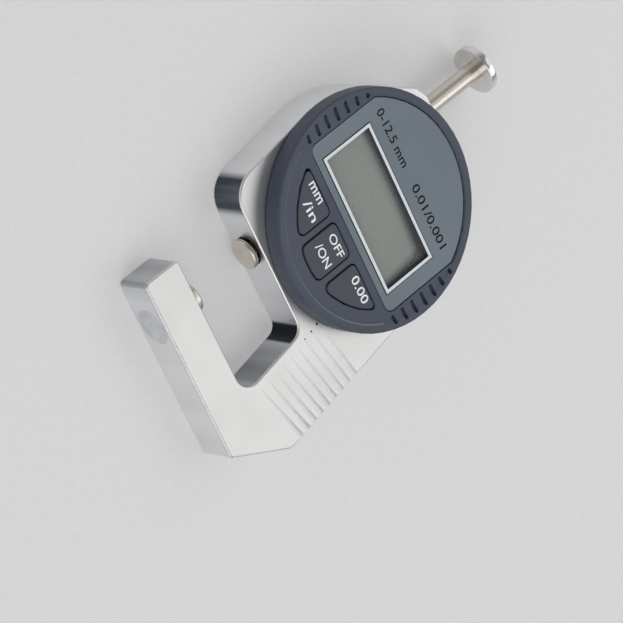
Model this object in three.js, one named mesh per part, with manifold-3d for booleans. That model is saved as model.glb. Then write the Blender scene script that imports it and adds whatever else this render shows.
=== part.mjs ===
// Digital thickness gauge: a flat cast frame with an open throat, a fixed anvil on its
// lower arm, a sprung spindle with a lifting cap, and a round display head that turns.
// Millimetres. The gauge lies on its flat back with the display up. The origin is the
// centre of the anvil's measuring face, +Y runs up the spindle and +Z out of the display.

import * as THREE from 'three';
import { mergeVertices } from 'three/addons/utils/BufferGeometryUtils.js';
import Module from 'manifold-3d';

const wasm = await Module();
wasm.setup();

// Fits shared by the pieces
const FIT = 0.3;
const THIN_FIT = 0.2;
const OVERRUN = 2;
const CHORD_ERROR = 0.04;
const WELD = 1e-5;

// Spindle and measuring gap
const OPEN_GAP = 14.6;
const CLOSED_GAP = 0.1;
const SPINDLE_R = 2;
const CONTACT_R = 3.4;
const CONTACT_T = 1;
const CAP_R = 5.35;
const CAP_T = 1.7;
const CAP_CLEAR = 1.2;

// Display head
const DISPLAY_R = 25;
const DISPLAY_OVERHANG = 0.2;
const DISPLAY_H = 4.5;
const DISPLAY_EDGE = 0.5;
const DISPLAY_WALL = 1.5;
const RIM_W = 2;
const RIM_STEP = 0.3;
const FACE_WALL = 1.3;
const PANEL_SET = 0.2;
const PANEL_R = DISPLAY_R - RIM_W - PANEL_SET;
const PANEL_SIDE = 5.1;
const PANEL_HALF_W = DISPLAY_R - PANEL_SIDE;
const PANEL_LOW = 7.9;
const PANEL_FILLET = 1.6;
const PANEL_T = 0.4;
const WINDOW_W = 32.5;
const WINDOW_H = 13.6;
const WINDOW_Y = 0.6;
const WINDOW_LINE = 0.7;
const BUTTON_SET = 5;
const BUTTON_R = DISPLAY_R - BUTTON_SET;
const BUTTON_TOP = 10.2;
const POWER_HALF_W = 4;
const SIDE_BUTTON_X = 5.95;
const BUTTON_FILLET = 1.1;
const BUTTON_TIP_FILLET = 0.8;
const BUTTON_PROUD = 0.2;
const BUTTON_TRAVEL = 0.4;

// Frame casting, seen from the front
const FRAME_T = 9;
const FRAME_EDGE = 0.4;
const ARM_H = 9.2;
const ARM_TIP = 10.3;
const ARM_TIP_FILLET = 1;
const ANVIL_R = 3.35;
const ANVIL_PROUD = 1.7;
const HEAD_X = 6.6;
const HEAD_Y = 42.1;
const HEAD_R = DISPLAY_R - DISPLAY_OVERHANG;
const HEAD_DROP = 25.7;
const HEAD_SIDE_LEAN = THREE.MathUtils.degToRad(7.9);
const HEAD_CORNER_FILLET = 6.2;
const NECK_LEAN = THREE.MathUtils.degToRad(9.5);
const NECK_W = 16.5;
const THROAT_TOP_FILLET = 2.7;
const THROAT_LOW_FILLET = 3.3;
const HEEL_TOP = 2.6;
const HEEL_ANGLE = THREE.MathUtils.degToRad(62.2);
const HEEL_TOP_FILLET = 2.2;
const HEEL_LOW_FILLET = 1;
const BOSS_H = 0.8;
const BOSS_HALF_W = 4.3;
const BOSS_SHOULDER_W = 7.2;
const BOSS_SHOULDER_DROP = 1.7;

// Grip ribs: what stands between shallow flutes across the neck
const FLUTE_COUNT = 9;
const FLUTE_PITCH = 2.27;
const FLUTE_IN_W = 0.35;
const FLUTE_OUT_W = 1.7;
const FLUTE_DEPTH_SHARE = 0.07;
const FLUTE_SIDES = 60;
const FLUTE_LOW = 3.9;
const FLUTE_LOW_TILT = THREE.MathUtils.degToRad(14);
const FLUTE_HIGH_TILT = THREE.MathUtils.degToRad(9.5);
const FLUTE_MARGIN = 1.6;

// Inside of the head
const BACK_COVER_RIM = 1.9;
const BACK_COVER_R = HEAD_R - BACK_COVER_RIM;
const BACK_COVER_T = 1.2;
const BUSH_R = 3;
const SENSOR_BOARD_T = 0.6;
const SENSOR_LEDGE_DEPTH = 1;
const SENSOR_LEDGE_W = 0.5;

// Head ring that the display turns on: a foot on the casting and a rim over the snap ring
const SHELL_INNER_R = DISPLAY_R - DISPLAY_WALL;
const RING_CLEAR = 0.5;
const RING_LIP = 1;
const RING_FOOT_W = 3.1;
const RING_T = 1.1;
const RING_RIM_T = 0.5;
const RING_RIM_R = SHELL_INNER_R - RING_CLEAR;
const RING_FOOT_R = RING_RIM_R - RING_LIP;
const RING_INNER_R = RING_FOOT_R - RING_FOOT_W;
const SENSOR_BOARD_R = RING_INNER_R + FIT;
const CAVITY_R = SENSOR_BOARD_R - SENSOR_LEDGE_W;

// Cell
const CELL_R = 5.8;
const CELL_T = 5.4;
const CELL_SIDE = 3.1;
const CELL_Y = 0;
const HOLDER_WALL = 0.9;
const HOLDER_R = CELL_R + FIT + HOLDER_WALL;
const CELL_X = CAVITY_R - HOLDER_R - CELL_SIDE;

// Heights that several pieces share
const FRONT_Z = FRAME_T / 2;
const BACK_Z = -FRAME_T / 2;
const COVER_INNER_Z = BACK_Z + BACK_COVER_T;
const COVER_LEDGE_Z = COVER_INNER_Z + FIT;
const SENSOR_LEDGE_Z = FRONT_Z - SENSOR_LEDGE_DEPTH;
const STROKE = OPEN_GAP - CLOSED_GAP;
const HEAD_LOW_Y = HEAD_Y - HEAD_DROP;
const ARM_INNER_Y = -ANVIL_PROUD;
const ARM_UNDER_Y = ARM_INNER_Y - ARM_H;
const BOSS_TOP_Y = HEAD_Y + HEAD_R + BOSS_H;
const CAP_LOW_Y = BOSS_TOP_Y + STROKE + CAP_CLEAR;

// Chain of points along an arc, close enough that no chord leaves it by CHORD_ERROR
function arc(x, y, radius, start, end) {
  const step = 2 * Math.acos(1 - Math.min(CHORD_ERROR / radius, 1 / 2));
  const count = Math.max(2, Math.ceil(Math.abs(end - start) / step));
  const points = [];
  for (let i = 0; i <= count; i += 1) {
    const angle = start + (end - start) * i / count;
    points.push(new THREE.Vector2(x + radius * Math.cos(angle), y + radius * Math.sin(angle)));
  }
  return points;
}

// Rounds the corner between two straight edges
function fillet(before, corner, after, radius) {
  const back = before.clone().sub(corner).normalize();
  const on = after.clone().sub(corner).normalize();
  const half = Math.acos(THREE.MathUtils.clamp(back.dot(on), -1, 1)) / 2;
  const middle = back.clone().add(on).normalize();
  const centre = corner.clone().addScaledVector(middle, radius / Math.sin(half));
  const from = corner.clone().addScaledVector(back, radius / Math.tan(half)).sub(centre);
  const to = corner.clone().addScaledVector(on, radius / Math.tan(half)).sub(centre);
  let sweep = to.angle() - from.angle();
  if (sweep > Math.PI) sweep -= 2 * Math.PI;
  if (sweep < -Math.PI) sweep += 2 * Math.PI;
  return arc(centre.x, centre.y, radius, from.angle(), from.angle() + sweep);
}

// Closed outline with each corner rounded by its own radius
function roundedOutline(corners) {
  return corners.flatMap(([point, radius], i) => {
    const before = corners[(i + corners.length - 1) % corners.length][0];
    const after = corners[(i + 1) % corners.length][0];
    return radius > 0 ? fillet(before, point, after, radius) : [point];
  });
}

// Changes a closed geometry into a solid that can be joined and cut, and back
function solid(geometry) {
  const bare = geometry.clone();
  bare.deleteAttribute('normal');
  bare.deleteAttribute('uv');
  const welded = mergeVertices(bare, WELD);
  const vertProperties = new Float32Array(welded.attributes.position.array);
  const triVerts = new Uint32Array(welded.index.array);
  return new wasm.Manifold(new wasm.Mesh({ numProp: 3, vertProperties, triVerts }));
}

function geometryOf(body) {
  const mesh = body.getMesh();
  const geometry = new THREE.BufferGeometry();
  geometry.setAttribute('position', new THREE.BufferAttribute(mesh.vertProperties, mesh.numProp));
  geometry.setIndex(new THREE.BufferAttribute(mesh.triVerts, 1));
  const faceted = geometry.toNonIndexed();
  faceted.computeVertexNormals();
  return faceted;
}

// Plate of any outline between two heights, with its rims broken by edge
function plate(points, low, high, edge = 0) {
  const shape = new THREE.Shape(points);
  const geometry = new THREE.ExtrudeGeometry(shape, {
    depth: high - low - 2 * edge,
    bevelEnabled: edge > 0,
    bevelSize: edge,
    bevelOffset: -edge,
    bevelThickness: edge,
    bevelSegments: 2,
  });
  geometry.translate(0, 0, low + edge);
  return solid(geometry);
}

function circle(x, y, radius) {
  return arc(x, y, radius, 0, 2 * Math.PI).slice(0, -1);
}

// Round piece along Z
function disc(x, y, radius, low, high) {
  return plate(circle(x, y, radius), low, high);
}

// Box from its limits
function block(x, y, z) {
  const size = [x[1] - x[0], y[1] - y[0], z[1] - z[0]];
  const geometry = new THREE.BoxGeometry(...size);
  geometry.translate((x[0] + x[1]) / 2, (y[0] + y[1]) / 2, (z[0] + z[1]) / 2);
  return solid(geometry);
}

function sidesFor(radius) {
  return Math.max(12, Math.ceil(Math.PI / Math.acos(1 - Math.min(CHORD_ERROR / radius, 1 / 2))));
}

// Turned piece: pairs of radius and place along its axis, from the axis round to the axis
function turned(profile) {
  const points = profile.map(([radius, along]) => new THREE.Vector2(radius, along));
  const widest = Math.max(...profile.map(([radius]) => radius));
  const onAxis = points[0].x === 0;
  if (!onAxis) points.push(points[0].clone());
  return solid(new THREE.LatheGeometry(points, sidesFor(widest)));
}

function turnedAlongZ(profile) {
  return turned(profile).rotate([90, 0, 0]);
}

function place(body, x, y, z = 0) {
  return body.translate([x, y, z]);
}

// Finishes
function finish(colour, roughness, metalness) {
  return new THREE.MeshStandardMaterial({ color: colour, roughness, metalness });
}

const SATIN_CHROME = finish('#d3d3d2', 0.35, 0.9);
const POLISHED_STEEL = finish('#dcd8d0', 0.15, 1);
const CARBIDE = finish('#a9a498', 0.25, 0.9);
const BLACKENED_STEEL = finish('#3a3a3c', 0.4, 0.8);
const BRONZE = finish('#a87b45', 0.35, 0.9);
const BEZEL_PLASTIC = finish('#4b4e5b', 0.5, 0);
const BUTTON_RUBBER = finish('#5a5d68', 0.6, 0);
const PANEL_FILM = finish('#6f7c87', 0.4, 0);
const WHITE_PRINT = finish('#dfe3e6', 0.5, 0);
const CLEAR_PANE = finish('#c8ccc8', 0.1, 0);
const LCD_GLASS = finish('#8b8d87', 0.3, 0);
const BOARD = finish('#1f5a3a', 0.5, 0);
const BLACK_PLASTIC = finish('#26272a', 0.5, 0);
const GREY_RUBBER = finish('#4a4b4e', 0.8, 0);
const NICKEL = finish('#c9c8c2', 0.3, 0.95);

function piece(parent, name, body, material) {
  const mesh = new THREE.Mesh(geometryOf(body), material);
  mesh.name = name;
  parent.add(mesh);
  return mesh;
}

const gauge = new THREE.Group();
const head = new THREE.Group();
head.position.set(HEAD_X, HEAD_Y, 0);
const display = new THREE.Group();
display.position.set(HEAD_X, HEAD_Y, FRONT_Z);
gauge.add(head, display);

// Frame casting: flat body of one thickness, cut out for the throat
const NECK_OUT = new THREE.Vector2(Math.cos(NECK_LEAN), Math.sin(NECK_LEAN));

function neckPoint(distance, y) {
  const rise = y - HEAD_Y;
  return new THREE.Vector2(HEAD_X + (distance - rise * NECK_OUT.y) / NECK_OUT.x, y);
}

// Where a straight line from a point outside the head's circle touches it, to either side
function tangentAngle(point, side) {
  const from = new THREE.Vector2(point.x - HEAD_X, point.y - HEAD_Y);
  return from.angle() + side * Math.acos(HEAD_R / from.length());
}

// Round the head, the outline rises to a flat boss square to the spindle, with a sloped
// shoulder on its left
function frameOutline() {
  const sideOut = new THREE.Vector2(-Math.cos(HEAD_SIDE_LEAN), -Math.sin(HEAD_SIDE_LEAN));
  const cornerX = HEAD_X + (HEAD_R + HEAD_DROP * sideOut.y) / sideOut.x;
  const tipLow = new THREE.Vector2(-ARM_TIP, ARM_UNDER_Y);
  const tipHigh = new THREE.Vector2(-ARM_TIP, ARM_INNER_Y);
  const heelTop = neckPoint(HEAD_R, HEEL_TOP);
  const heelLow = heelTop.clone();
  heelLow.x -= (HEEL_TOP - ARM_UNDER_Y) / Math.tan(HEEL_ANGLE);
  heelLow.y = ARM_UNDER_Y;
  const throatTop = neckPoint(HEAD_R - NECK_W, HEAD_LOW_Y);
  const throatLow = neckPoint(HEAD_R - NECK_W, ARM_INNER_Y);
  const headCorner = new THREE.Vector2(cornerX, HEAD_LOW_Y);
  const neckTangent = new THREE.Vector2(HEAD_X, HEAD_Y).addScaledVector(NECK_OUT, HEAD_R);
  const sideTangent = new THREE.Vector2(HEAD_X, HEAD_Y).addScaledVector(sideOut, HEAD_R);
  const bossRight = new THREE.Vector2(BOSS_HALF_W, BOSS_TOP_Y);
  const bossLeft = new THREE.Vector2(-BOSS_HALF_W, BOSS_TOP_Y);
  const shoulder = new THREE.Vector2(-BOSS_SHOULDER_W, BOSS_TOP_Y - BOSS_SHOULDER_DROP);
  const riseEnd = tangentAngle(bossRight, -1);
  const fallEnd = tangentAngle(shoulder, 1);
  return [
    ...fillet(tipHigh, tipLow, heelLow, ARM_TIP_FILLET),
    ...fillet(tipLow, heelLow, heelTop, HEEL_LOW_FILLET),
    ...fillet(heelLow, heelTop, neckTangent, HEEL_TOP_FILLET),
    ...arc(HEAD_X, HEAD_Y, HEAD_R, NECK_LEAN, riseEnd),
    bossRight, bossLeft, shoulder,
    ...arc(HEAD_X, HEAD_Y, HEAD_R, fallEnd, Math.PI + HEAD_SIDE_LEAN),
    ...fillet(sideTangent, headCorner, throatTop, HEAD_CORNER_FILLET),
    ...fillet(headCorner, throatTop, throatLow, THROAT_TOP_FILLET),
    ...fillet(throatTop, throatLow, tipHigh, THROAT_LOW_FILLET),
    ...fillet(throatLow, tipHigh, tipLow, ARM_TIP_FILLET),
  ];
}

// The flutes lie side by side up the neck, the lowest one tilted most. Each is cut by a cone
// whose axis lies over the face. It starts as a fine line near the throat, and grows wider and
// deeper in one proportion up to the outer side, where it is open.
function fluteCutters() {
  const cutters = [];
  const inner = NECK_W / 2 - FLUTE_MARGIN;
  const outer = NECK_W / 2 + FIT;
  const length = inner + outer;
  const radiusShare = 1 / (8 * FLUTE_DEPTH_SHARE) + FLUTE_DEPTH_SHARE / 2;
  const axisShare = radiusShare - FLUTE_DEPTH_SHARE;
  const lift = Math.atan(axisShare * (FLUTE_OUT_W - FLUTE_IN_W) / length);
  for (let i = 0; i < FLUTE_COUNT; i += 1) {
    const tilt = THREE.MathUtils.lerp(FLUTE_LOW_TILT, FLUTE_HIGH_TILT, i / (FLUTE_COUNT - 1));
    const along = new THREE.Vector2(Math.cos(tilt), Math.sin(tilt));
    const middle = neckPoint(HEAD_R - NECK_W / 2, FLUTE_LOW + i * FLUTE_PITCH);
    middle.addScaledVector(along, (outer - inner) / 2);
    const geometry = new THREE.CylinderGeometry(
      radiusShare * FLUTE_OUT_W, radiusShare * FLUTE_IN_W, length, FLUTE_SIDES);
    geometry.rotateX(lift);
    geometry.rotateZ(tilt - Math.PI / 2);
    const height = FRONT_Z + axisShare * (FLUTE_OUT_W + FLUTE_IN_W) / 2;
    geometry.translate(middle.x, middle.y, height);
    cutters.push(solid(geometry));
  }
  return cutters;
}

const ANVIL_STEM_R = 2.5;
const ANVIL_STEM_L = 6;
const PLUG_R = 3.8;
const PLUG_T = 1.2;
const COVER_SCREW_PITCH_R = (CAVITY_R + BACK_COVER_R) / 2;
const COVER_SCREW_R = 0.7;
const COVER_SCREW_L = 3.2;
const COVER_SCREW_HEAD_R = 1.4;
const COVER_SCREW_HEAD_T = 0.6;
const COVER_SCREW_COUNT = 4;
const RING_SCREW_R = 0.6;
const RING_SCREW_L = 2.6;
const RING_SCREW_HEAD_R = 1.1;
const RING_SCREW_PITCH_R = RING_FOOT_R - RING_SCREW_HEAD_R;
const RING_SCREW_HEAD_T = 0.5;
const RING_SCREW_COUNT = 3;

// Places round a circle for screws, from a first angle
function round(count, radius, first) {
  const places = [];
  for (let i = 0; i < count; i += 1) {
    const angle = first + 2 * Math.PI * i / count;
    places.push([radius * Math.cos(angle), radius * Math.sin(angle)]);
  }
  return places;
}

const COVER_SCREWS = round(COVER_SCREW_COUNT, COVER_SCREW_PITCH_R, Math.PI / COVER_SCREW_COUNT);
const RING_SCREWS = round(RING_SCREW_COUNT, RING_SCREW_PITCH_R, Math.PI / 2);

function axisCylinder(radius, low, high) {
  return turned([[0, low], [radius, low], [radius, high], [0, high]]);
}

function frameCasting() {
  const above = FRONT_Z + OVERRUN;
  const below = BACK_Z - OVERRUN;
  let body = plate(frameOutline(), BACK_Z, FRONT_Z, FRAME_EDGE);
  body = body.subtract(disc(HEAD_X, HEAD_Y, CAVITY_R, below, above));
  body = body.subtract(disc(HEAD_X, HEAD_Y, SENSOR_BOARD_R + FIT, SENSOR_LEDGE_Z, above));
  body = body.subtract(disc(HEAD_X, HEAD_Y, BACK_COVER_R + FIT, below, COVER_LEDGE_Z));
  body = body.subtract(axisCylinder(BUSH_R + FIT, HEAD_LOW_Y - OVERRUN, BOSS_TOP_Y + OVERRUN));
  const stemLow = ARM_INNER_Y - ANVIL_STEM_L - FIT;
  body = body.subtract(axisCylinder(ANVIL_STEM_R + FIT, stemLow, 0));
  const plugTop = ARM_UNDER_Y + PLUG_T + FIT;
  body = body.subtract(axisCylinder(PLUG_R + THIN_FIT, ARM_UNDER_Y - OVERRUN, plugTop));
  for (const [x, y] of COVER_SCREWS) {
    const high = BACK_Z + COVER_SCREW_L + FIT;
    body = body.subtract(disc(HEAD_X + x, HEAD_Y + y, COVER_SCREW_R + FIT, below, high));
  }
  for (const [x, y] of RING_SCREWS) {
    const low = FRONT_Z - RING_SCREW_L - FIT;
    body = body.subtract(disc(HEAD_X + x, HEAD_Y + y, RING_SCREW_R + FIT, low, above));
  }
  for (const cutter of fluteCutters()) body = body.subtract(cutter);
  return body;
}

piece(gauge, 'frame_casting', frameCasting(), SATIN_CHROME);

// Anvil: hard disc on a stem, pressed into the arm, with a plug under it
function anvil() {
  const stemEnd = ARM_INNER_Y - ANVIL_STEM_L;
  const seat = ARM_INNER_Y + FIT;
  return turned([
    [0, stemEnd], [ANVIL_STEM_R, stemEnd], [ANVIL_STEM_R, seat], [ANVIL_R, seat],
    [ANVIL_R, -THIN_FIT], [ANVIL_R - THIN_FIT, 0], [0, 0],
  ]);
}

piece(gauge, 'anvil', anvil(), CARBIDE);
piece(gauge, 'anvil_plug', axisCylinder(PLUG_R, ARM_UNDER_Y, ARM_UNDER_Y + PLUG_T), SATIN_CHROME);

// Bushes that guide the spindle at the top and bottom of the head
const BUSH_LOWER_SET = 0.5;
const BUSH_BORE_R = SPINDLE_R + FIT;
const BUSH_INNER = Math.sqrt(CAVITY_R ** 2 - (HEAD_X + BUSH_R) ** 2);

function bush(low, high) {
  return turned([[BUSH_BORE_R, low], [BUSH_R, low], [BUSH_R, high], [BUSH_BORE_R, high]]);
}

const UPPER_BUSH_TOP = BOSS_TOP_Y - THIN_FIT;
const LOWER_BUSH_LOW = HEAD_LOW_Y + BUSH_LOWER_SET;
piece(gauge, 'upper_bush', bush(HEAD_Y + BUSH_INNER, UPPER_BUSH_TOP), BRONZE);
piece(gauge, 'lower_bush', bush(LOWER_BUSH_LOW, HEAD_Y - BUSH_INNER), BRONZE);

// Spindle: ground rod with a hard contact screwed in below and the lifting cap on top
const CONTACT_STUD_R = 1;
const CONTACT_STUD_L = 3;
const CAP_BORE_SHARE = 0.6;
const CAP_SCREW_R = 0.9;
const CAP_SCREW_L = 3;
const CAP_SCREW_HEAD_R = 1.9;
const CAP_SCREW_HEAD_T = 0.6;
const CAP_EDGE = 0.3;
const ROD_LOW_Y = OPEN_GAP + CONTACT_T + FIT;
const CAP_BORE_DEPTH = CAP_T * CAP_BORE_SHARE;
const ROD_TOP_Y = CAP_LOW_Y + CAP_BORE_DEPTH - FIT;

function spindleRod() {
  const studHole = CONTACT_STUD_R + FIT;
  const studTop = OPEN_GAP + CONTACT_T + CONTACT_STUD_L + FIT;
  const screwHole = CAP_SCREW_R + FIT;
  const screwLow = CAP_LOW_Y + CAP_T - CAP_SCREW_L - FIT;
  return turned([
    [0, studTop], [studHole, studTop], [studHole, ROD_LOW_Y], [SPINDLE_R, ROD_LOW_Y],
    [SPINDLE_R, ROD_TOP_Y], [screwHole, ROD_TOP_Y], [screwHole, screwLow], [0, screwLow],
  ]);
}

function contactDisc() {
  const back = OPEN_GAP + CONTACT_T;
  const studTop = back + CONTACT_STUD_L;
  return turned([
    [0, OPEN_GAP], [CONTACT_R - THIN_FIT, OPEN_GAP], [CONTACT_R, OPEN_GAP + THIN_FIT],
    [CONTACT_R, back], [CONTACT_STUD_R, back], [CONTACT_STUD_R, studTop], [0, studTop],
  ]);
}

function liftCap() {
  const top = CAP_LOW_Y + CAP_T;
  const boreTop = CAP_LOW_Y + CAP_BORE_DEPTH;
  const bore = SPINDLE_R + FIT;
  const hole = CAP_SCREW_R + FIT;
  return turned([
    [bore, CAP_LOW_Y], [CAP_R - CAP_EDGE, CAP_LOW_Y], [CAP_R, CAP_LOW_Y + CAP_EDGE],
    [CAP_R, top - CAP_EDGE], [CAP_R - CAP_EDGE, top], [hole, top], [hole, boreTop],
    [bore, boreTop],
  ]);
}

// Screw along Y with its head outwards and a driver slot
function capScrew() {
  const seat = CAP_LOW_Y + CAP_T + THIN_FIT;
  const top = seat + CAP_SCREW_HEAD_T;
  const low = CAP_LOW_Y + CAP_T - CAP_SCREW_L;
  const slot = CAP_SCREW_HEAD_T / 2;
  const body = turned([
    [0, low], [CAP_SCREW_R, low], [CAP_SCREW_R, seat], [CAP_SCREW_HEAD_R, seat],
    [CAP_SCREW_HEAD_R, top], [0, top],
  ]);
  const reach = CAP_SCREW_HEAD_R + OVERRUN;
  return body.subtract(block([-reach, reach], [top - slot, top + OVERRUN], [-slot / 2, slot / 2]));
}

piece(gauge, 'spindle_rod', spindleRod(), POLISHED_STEEL);
piece(gauge, 'contact_disc', contactDisc(), CARBIDE);
piece(gauge, 'lift_cap', liftCap(), NICKEL);
piece(gauge, 'cap_screw', capScrew(), NICKEL);

// Scale carrier: block clamped on the spindle that carries the measuring strip
const CARRIER_SHARE = 0.68;
const CARRIER_LEFT = 2.9;
const CARRIER_RIGHT = 4.5;
const CARRIER_LOW_Z = COVER_INNER_Z + 2 * THIN_FIT;
const CARRIER_TOP_Z = 2.7;
const STRIP_T = 0.4;
const STRIP_MARGIN = 0.4;
const CLAMP_SCREW_R = 0.6;
const CLAMP_SCREW_HEAD_R = 1;
const CLAMP_SCREW_HEAD_T = 0.5;
const CLAMP_SCREW_COUNT = 2;
const GUIDE_PIN_R = 0.6;
const GUIDE_PIN_L = 2;
const CARRIER_CLOSED_LOW = HEAD_Y - BUSH_INNER + FIT;
const CARRIER_LOW_Y = CARRIER_CLOSED_LOW + STROKE;
const CARRIER_L = CARRIER_SHARE * (HEAD_Y + BUSH_INNER - CARRIER_LOW_Y);
const CARRIER_TOP_Y = CARRIER_LOW_Y + CARRIER_L;
const CARRIER_MID_Y = (CARRIER_LOW_Y + CARRIER_TOP_Y) / 2;
const GUIDE_PIN_SET = 0.5;

// Cylinder along X
function crossCylinder(radius, from, to, y) {
  return place(axisCylinder(radius, from, to).rotate([0, 0, -90]), 0, y);
}

function clampScrewY(i) {
  return CARRIER_LOW_Y + CARRIER_L * (i + 1) / (CLAMP_SCREW_COUNT + 1);
}

function scaleCarrier() {
  const x = [-CARRIER_LEFT, CARRIER_RIGHT];
  let body = block(x, [CARRIER_LOW_Y, CARRIER_TOP_Y], [CARRIER_LOW_Z, CARRIER_TOP_Z]);
  const bore = SPINDLE_R + THIN_FIT;
  body = body.subtract(axisCylinder(bore, CARRIER_LOW_Y - OVERRUN, CARRIER_TOP_Y + OVERRUN));
  for (let i = 0; i < CLAMP_SCREW_COUNT; i += 1) {
    const reach = CARRIER_RIGHT + OVERRUN;
    body = body.subtract(crossCylinder(CLAMP_SCREW_R + THIN_FIT, 0, reach, clampScrewY(i)));
  }
  const pinHole = GUIDE_PIN_R + THIN_FIT;
  return body.subtract(crossCylinder(pinHole, -CARRIER_LEFT - OVERRUN, 0, CARRIER_MID_Y));
}

function scaleStrip() {
  const x = [-CARRIER_LEFT + STRIP_MARGIN, CARRIER_RIGHT - STRIP_MARGIN];
  const y = [CARRIER_LOW_Y + STRIP_MARGIN, CARRIER_TOP_Y - STRIP_MARGIN];
  return block(x, y, [CARRIER_TOP_Z + THIN_FIT, CARRIER_TOP_Z + THIN_FIT + STRIP_T]);
}

function clampScrew(y) {
  const seat = CARRIER_RIGHT + THIN_FIT;
  const tip = SPINDLE_R + THIN_FIT;
  const shank = crossCylinder(CLAMP_SCREW_R, tip, seat, y);
  return shank.add(crossCylinder(CLAMP_SCREW_HEAD_R, seat, seat + CLAMP_SCREW_HEAD_T, y));
}

piece(gauge, 'scale_carrier', scaleCarrier(), BLACK_PLASTIC);
piece(gauge, 'scale_strip', scaleStrip(), BOARD);
for (let i = 0; i < CLAMP_SCREW_COUNT; i += 1) {
  piece(gauge, `carrier_screw_${i + 1}`, clampScrew(clampScrewY(i)), BLACKENED_STEEL);
}

// Guide pin in the carrier, and the rail whose groove stops the spindle turning
const RAIL_W = 1.6;
const RAIL_HALF_L = 13.6;
const RAIL_TOP_Z = 1.8;
const RAIL_GAP = 0.4;
const pinOut = -CARRIER_LEFT + GUIDE_PIN_SET - GUIDE_PIN_L;
const pinIn = -CARRIER_LEFT + GUIDE_PIN_SET;
piece(gauge, 'guide_pin', crossCylinder(GUIDE_PIN_R, pinOut, pinIn, CARRIER_MID_Y), POLISHED_STEEL);

function guideRail() {
  const right = -CARRIER_LEFT - RAIL_GAP;
  const left = right - RAIL_W;
  const y = [HEAD_Y - RAIL_HALF_L, HEAD_Y + RAIL_HALF_L];
  const groove = GUIDE_PIN_R + FIT;
  const grooveY = [y[0] - OVERRUN, y[1] + OVERRUN];
  const body = block([left, right], y, [COVER_LEDGE_Z, RAIL_TOP_Z]);
  return body.subtract(block([pinOut - FIT, right + OVERRUN], grooveY, [-groove, groove]));
}

piece(gauge, 'guide_rail', guideRail(), BLACKENED_STEEL);

// Return spring: one wire wound round the spindle between the carrier and the upper bush
const SPRING_WIRE_R = 0.22;
const SPRING_R = BUSH_R - SPRING_WIRE_R;
const SPRING_TURNS = 5;
const SPRING_STEPS_PER_TURN = 10;
const SPRING_SIDES = 6;

class Helix extends THREE.Curve {
  constructor(radius, low, high, turns) {
    super();
    Object.assign(this, { radius, low, high, turns });
  }

  getPoint(t, target = new THREE.Vector3()) {
    const angle = 2 * Math.PI * this.turns * t;
    const y = THREE.MathUtils.lerp(this.low, this.high, t);
    return target.set(this.radius * Math.cos(angle), y, -this.radius * Math.sin(angle));
  }
}

function returnSpring() {
  const low = CARRIER_TOP_Y + FIT + SPRING_WIRE_R;
  const high = HEAD_Y + BUSH_INNER - FIT - SPRING_WIRE_R;
  const path = new Helix(SPRING_R, low, high, SPRING_TURNS);
  const section = [];
  for (let i = 0; i < SPRING_SIDES; i += 1) {
    const angle = 2 * Math.PI * i / SPRING_SIDES;
    section.push(new THREE.Vector2(Math.cos(angle), Math.sin(angle)).multiplyScalar(SPRING_WIRE_R));
  }
  const steps = SPRING_TURNS * SPRING_STEPS_PER_TURN;
  const options = { steps, extrudePath: path, bevelEnabled: false };
  return solid(new THREE.ExtrudeGeometry(new THREE.Shape(section), options));
}

piece(gauge, 'return_spring', returnSpring(), POLISHED_STEEL);

// Back cover with its screws, flush with the back of the casting
const CELL_COVER_R = 7.6;
const CELL_COVER_SLOT_W = 1.4;
const CELL_COVER_SLOT_DEPTH = 0.6;
const CELL_COVER_SLOT_SHARE = 0.67;

function backCover() {
  let body = disc(0, 0, BACK_COVER_R, BACK_Z, COVER_INNER_Z);
  for (const [x, y] of COVER_SCREWS) {
    const floor = BACK_Z + COVER_SCREW_HEAD_T + THIN_FIT;
    const low = BACK_Z - OVERRUN;
    body = body.subtract(disc(x, y, COVER_SCREW_HEAD_R + THIN_FIT, low, floor));
    body = body.subtract(disc(x, y, COVER_SCREW_R + THIN_FIT, low, COVER_INNER_Z + OVERRUN));
  }
  const through = [BACK_Z - OVERRUN, COVER_INNER_Z + OVERRUN];
  return body.subtract(disc(CELL_X, CELL_Y, CELL_COVER_R + FIT, ...through));
}

piece(head, 'back_cover', backCover(), SATIN_CHROME);

// Screw along Z whose head faces down, with a driver slot
function backScrew() {
  const seat = BACK_Z + COVER_SCREW_HEAD_T;
  const tip = BACK_Z + COVER_SCREW_L;
  const slot = COVER_SCREW_HEAD_T / 2;
  const head = disc(0, 0, COVER_SCREW_HEAD_R, BACK_Z, seat);
  const body = head.add(disc(0, 0, COVER_SCREW_R, BACK_Z, tip));
  const reach = COVER_SCREW_HEAD_R + OVERRUN;
  return body.subtract(block([-reach, reach], [-slot / 2, slot / 2], [BACK_Z - OVERRUN, BACK_Z + slot]));
}

COVER_SCREWS.forEach(([x, y], i) => {
  piece(head, `back_cover_screw_${i + 1}`, backScrew(), BLACKENED_STEEL).position.set(x, y, 0);
});

// Cell cover: turns free with a coin, and presses the cell to its contacts
const CONTACT_LEAF_T = 0.2;
const LEAF_HALF_W = 1.5;
const HOLDER_LEAF_SLOT = LEAF_HALF_W + FIT;
const CELL_LOW_Z = COVER_INNER_Z + 2 * THIN_FIT + CONTACT_LEAF_T;
const CELL_TOP_Z = CELL_LOW_Z + CELL_T;

function cellCover() {
  const body = disc(0, 0, CELL_COVER_R, BACK_Z, COVER_INNER_Z);
  const reach = CELL_COVER_R * CELL_COVER_SLOT_SHARE;
  const half = CELL_COVER_SLOT_W / 2;
  const depth = [BACK_Z - OVERRUN, BACK_Z + CELL_COVER_SLOT_DEPTH];
  return body.subtract(block([-reach, reach], [-half, half], depth));
}

piece(head, 'cell_cover', cellCover(), BEZEL_PLASTIC).position.set(CELL_X, CELL_Y, 0);

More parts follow.
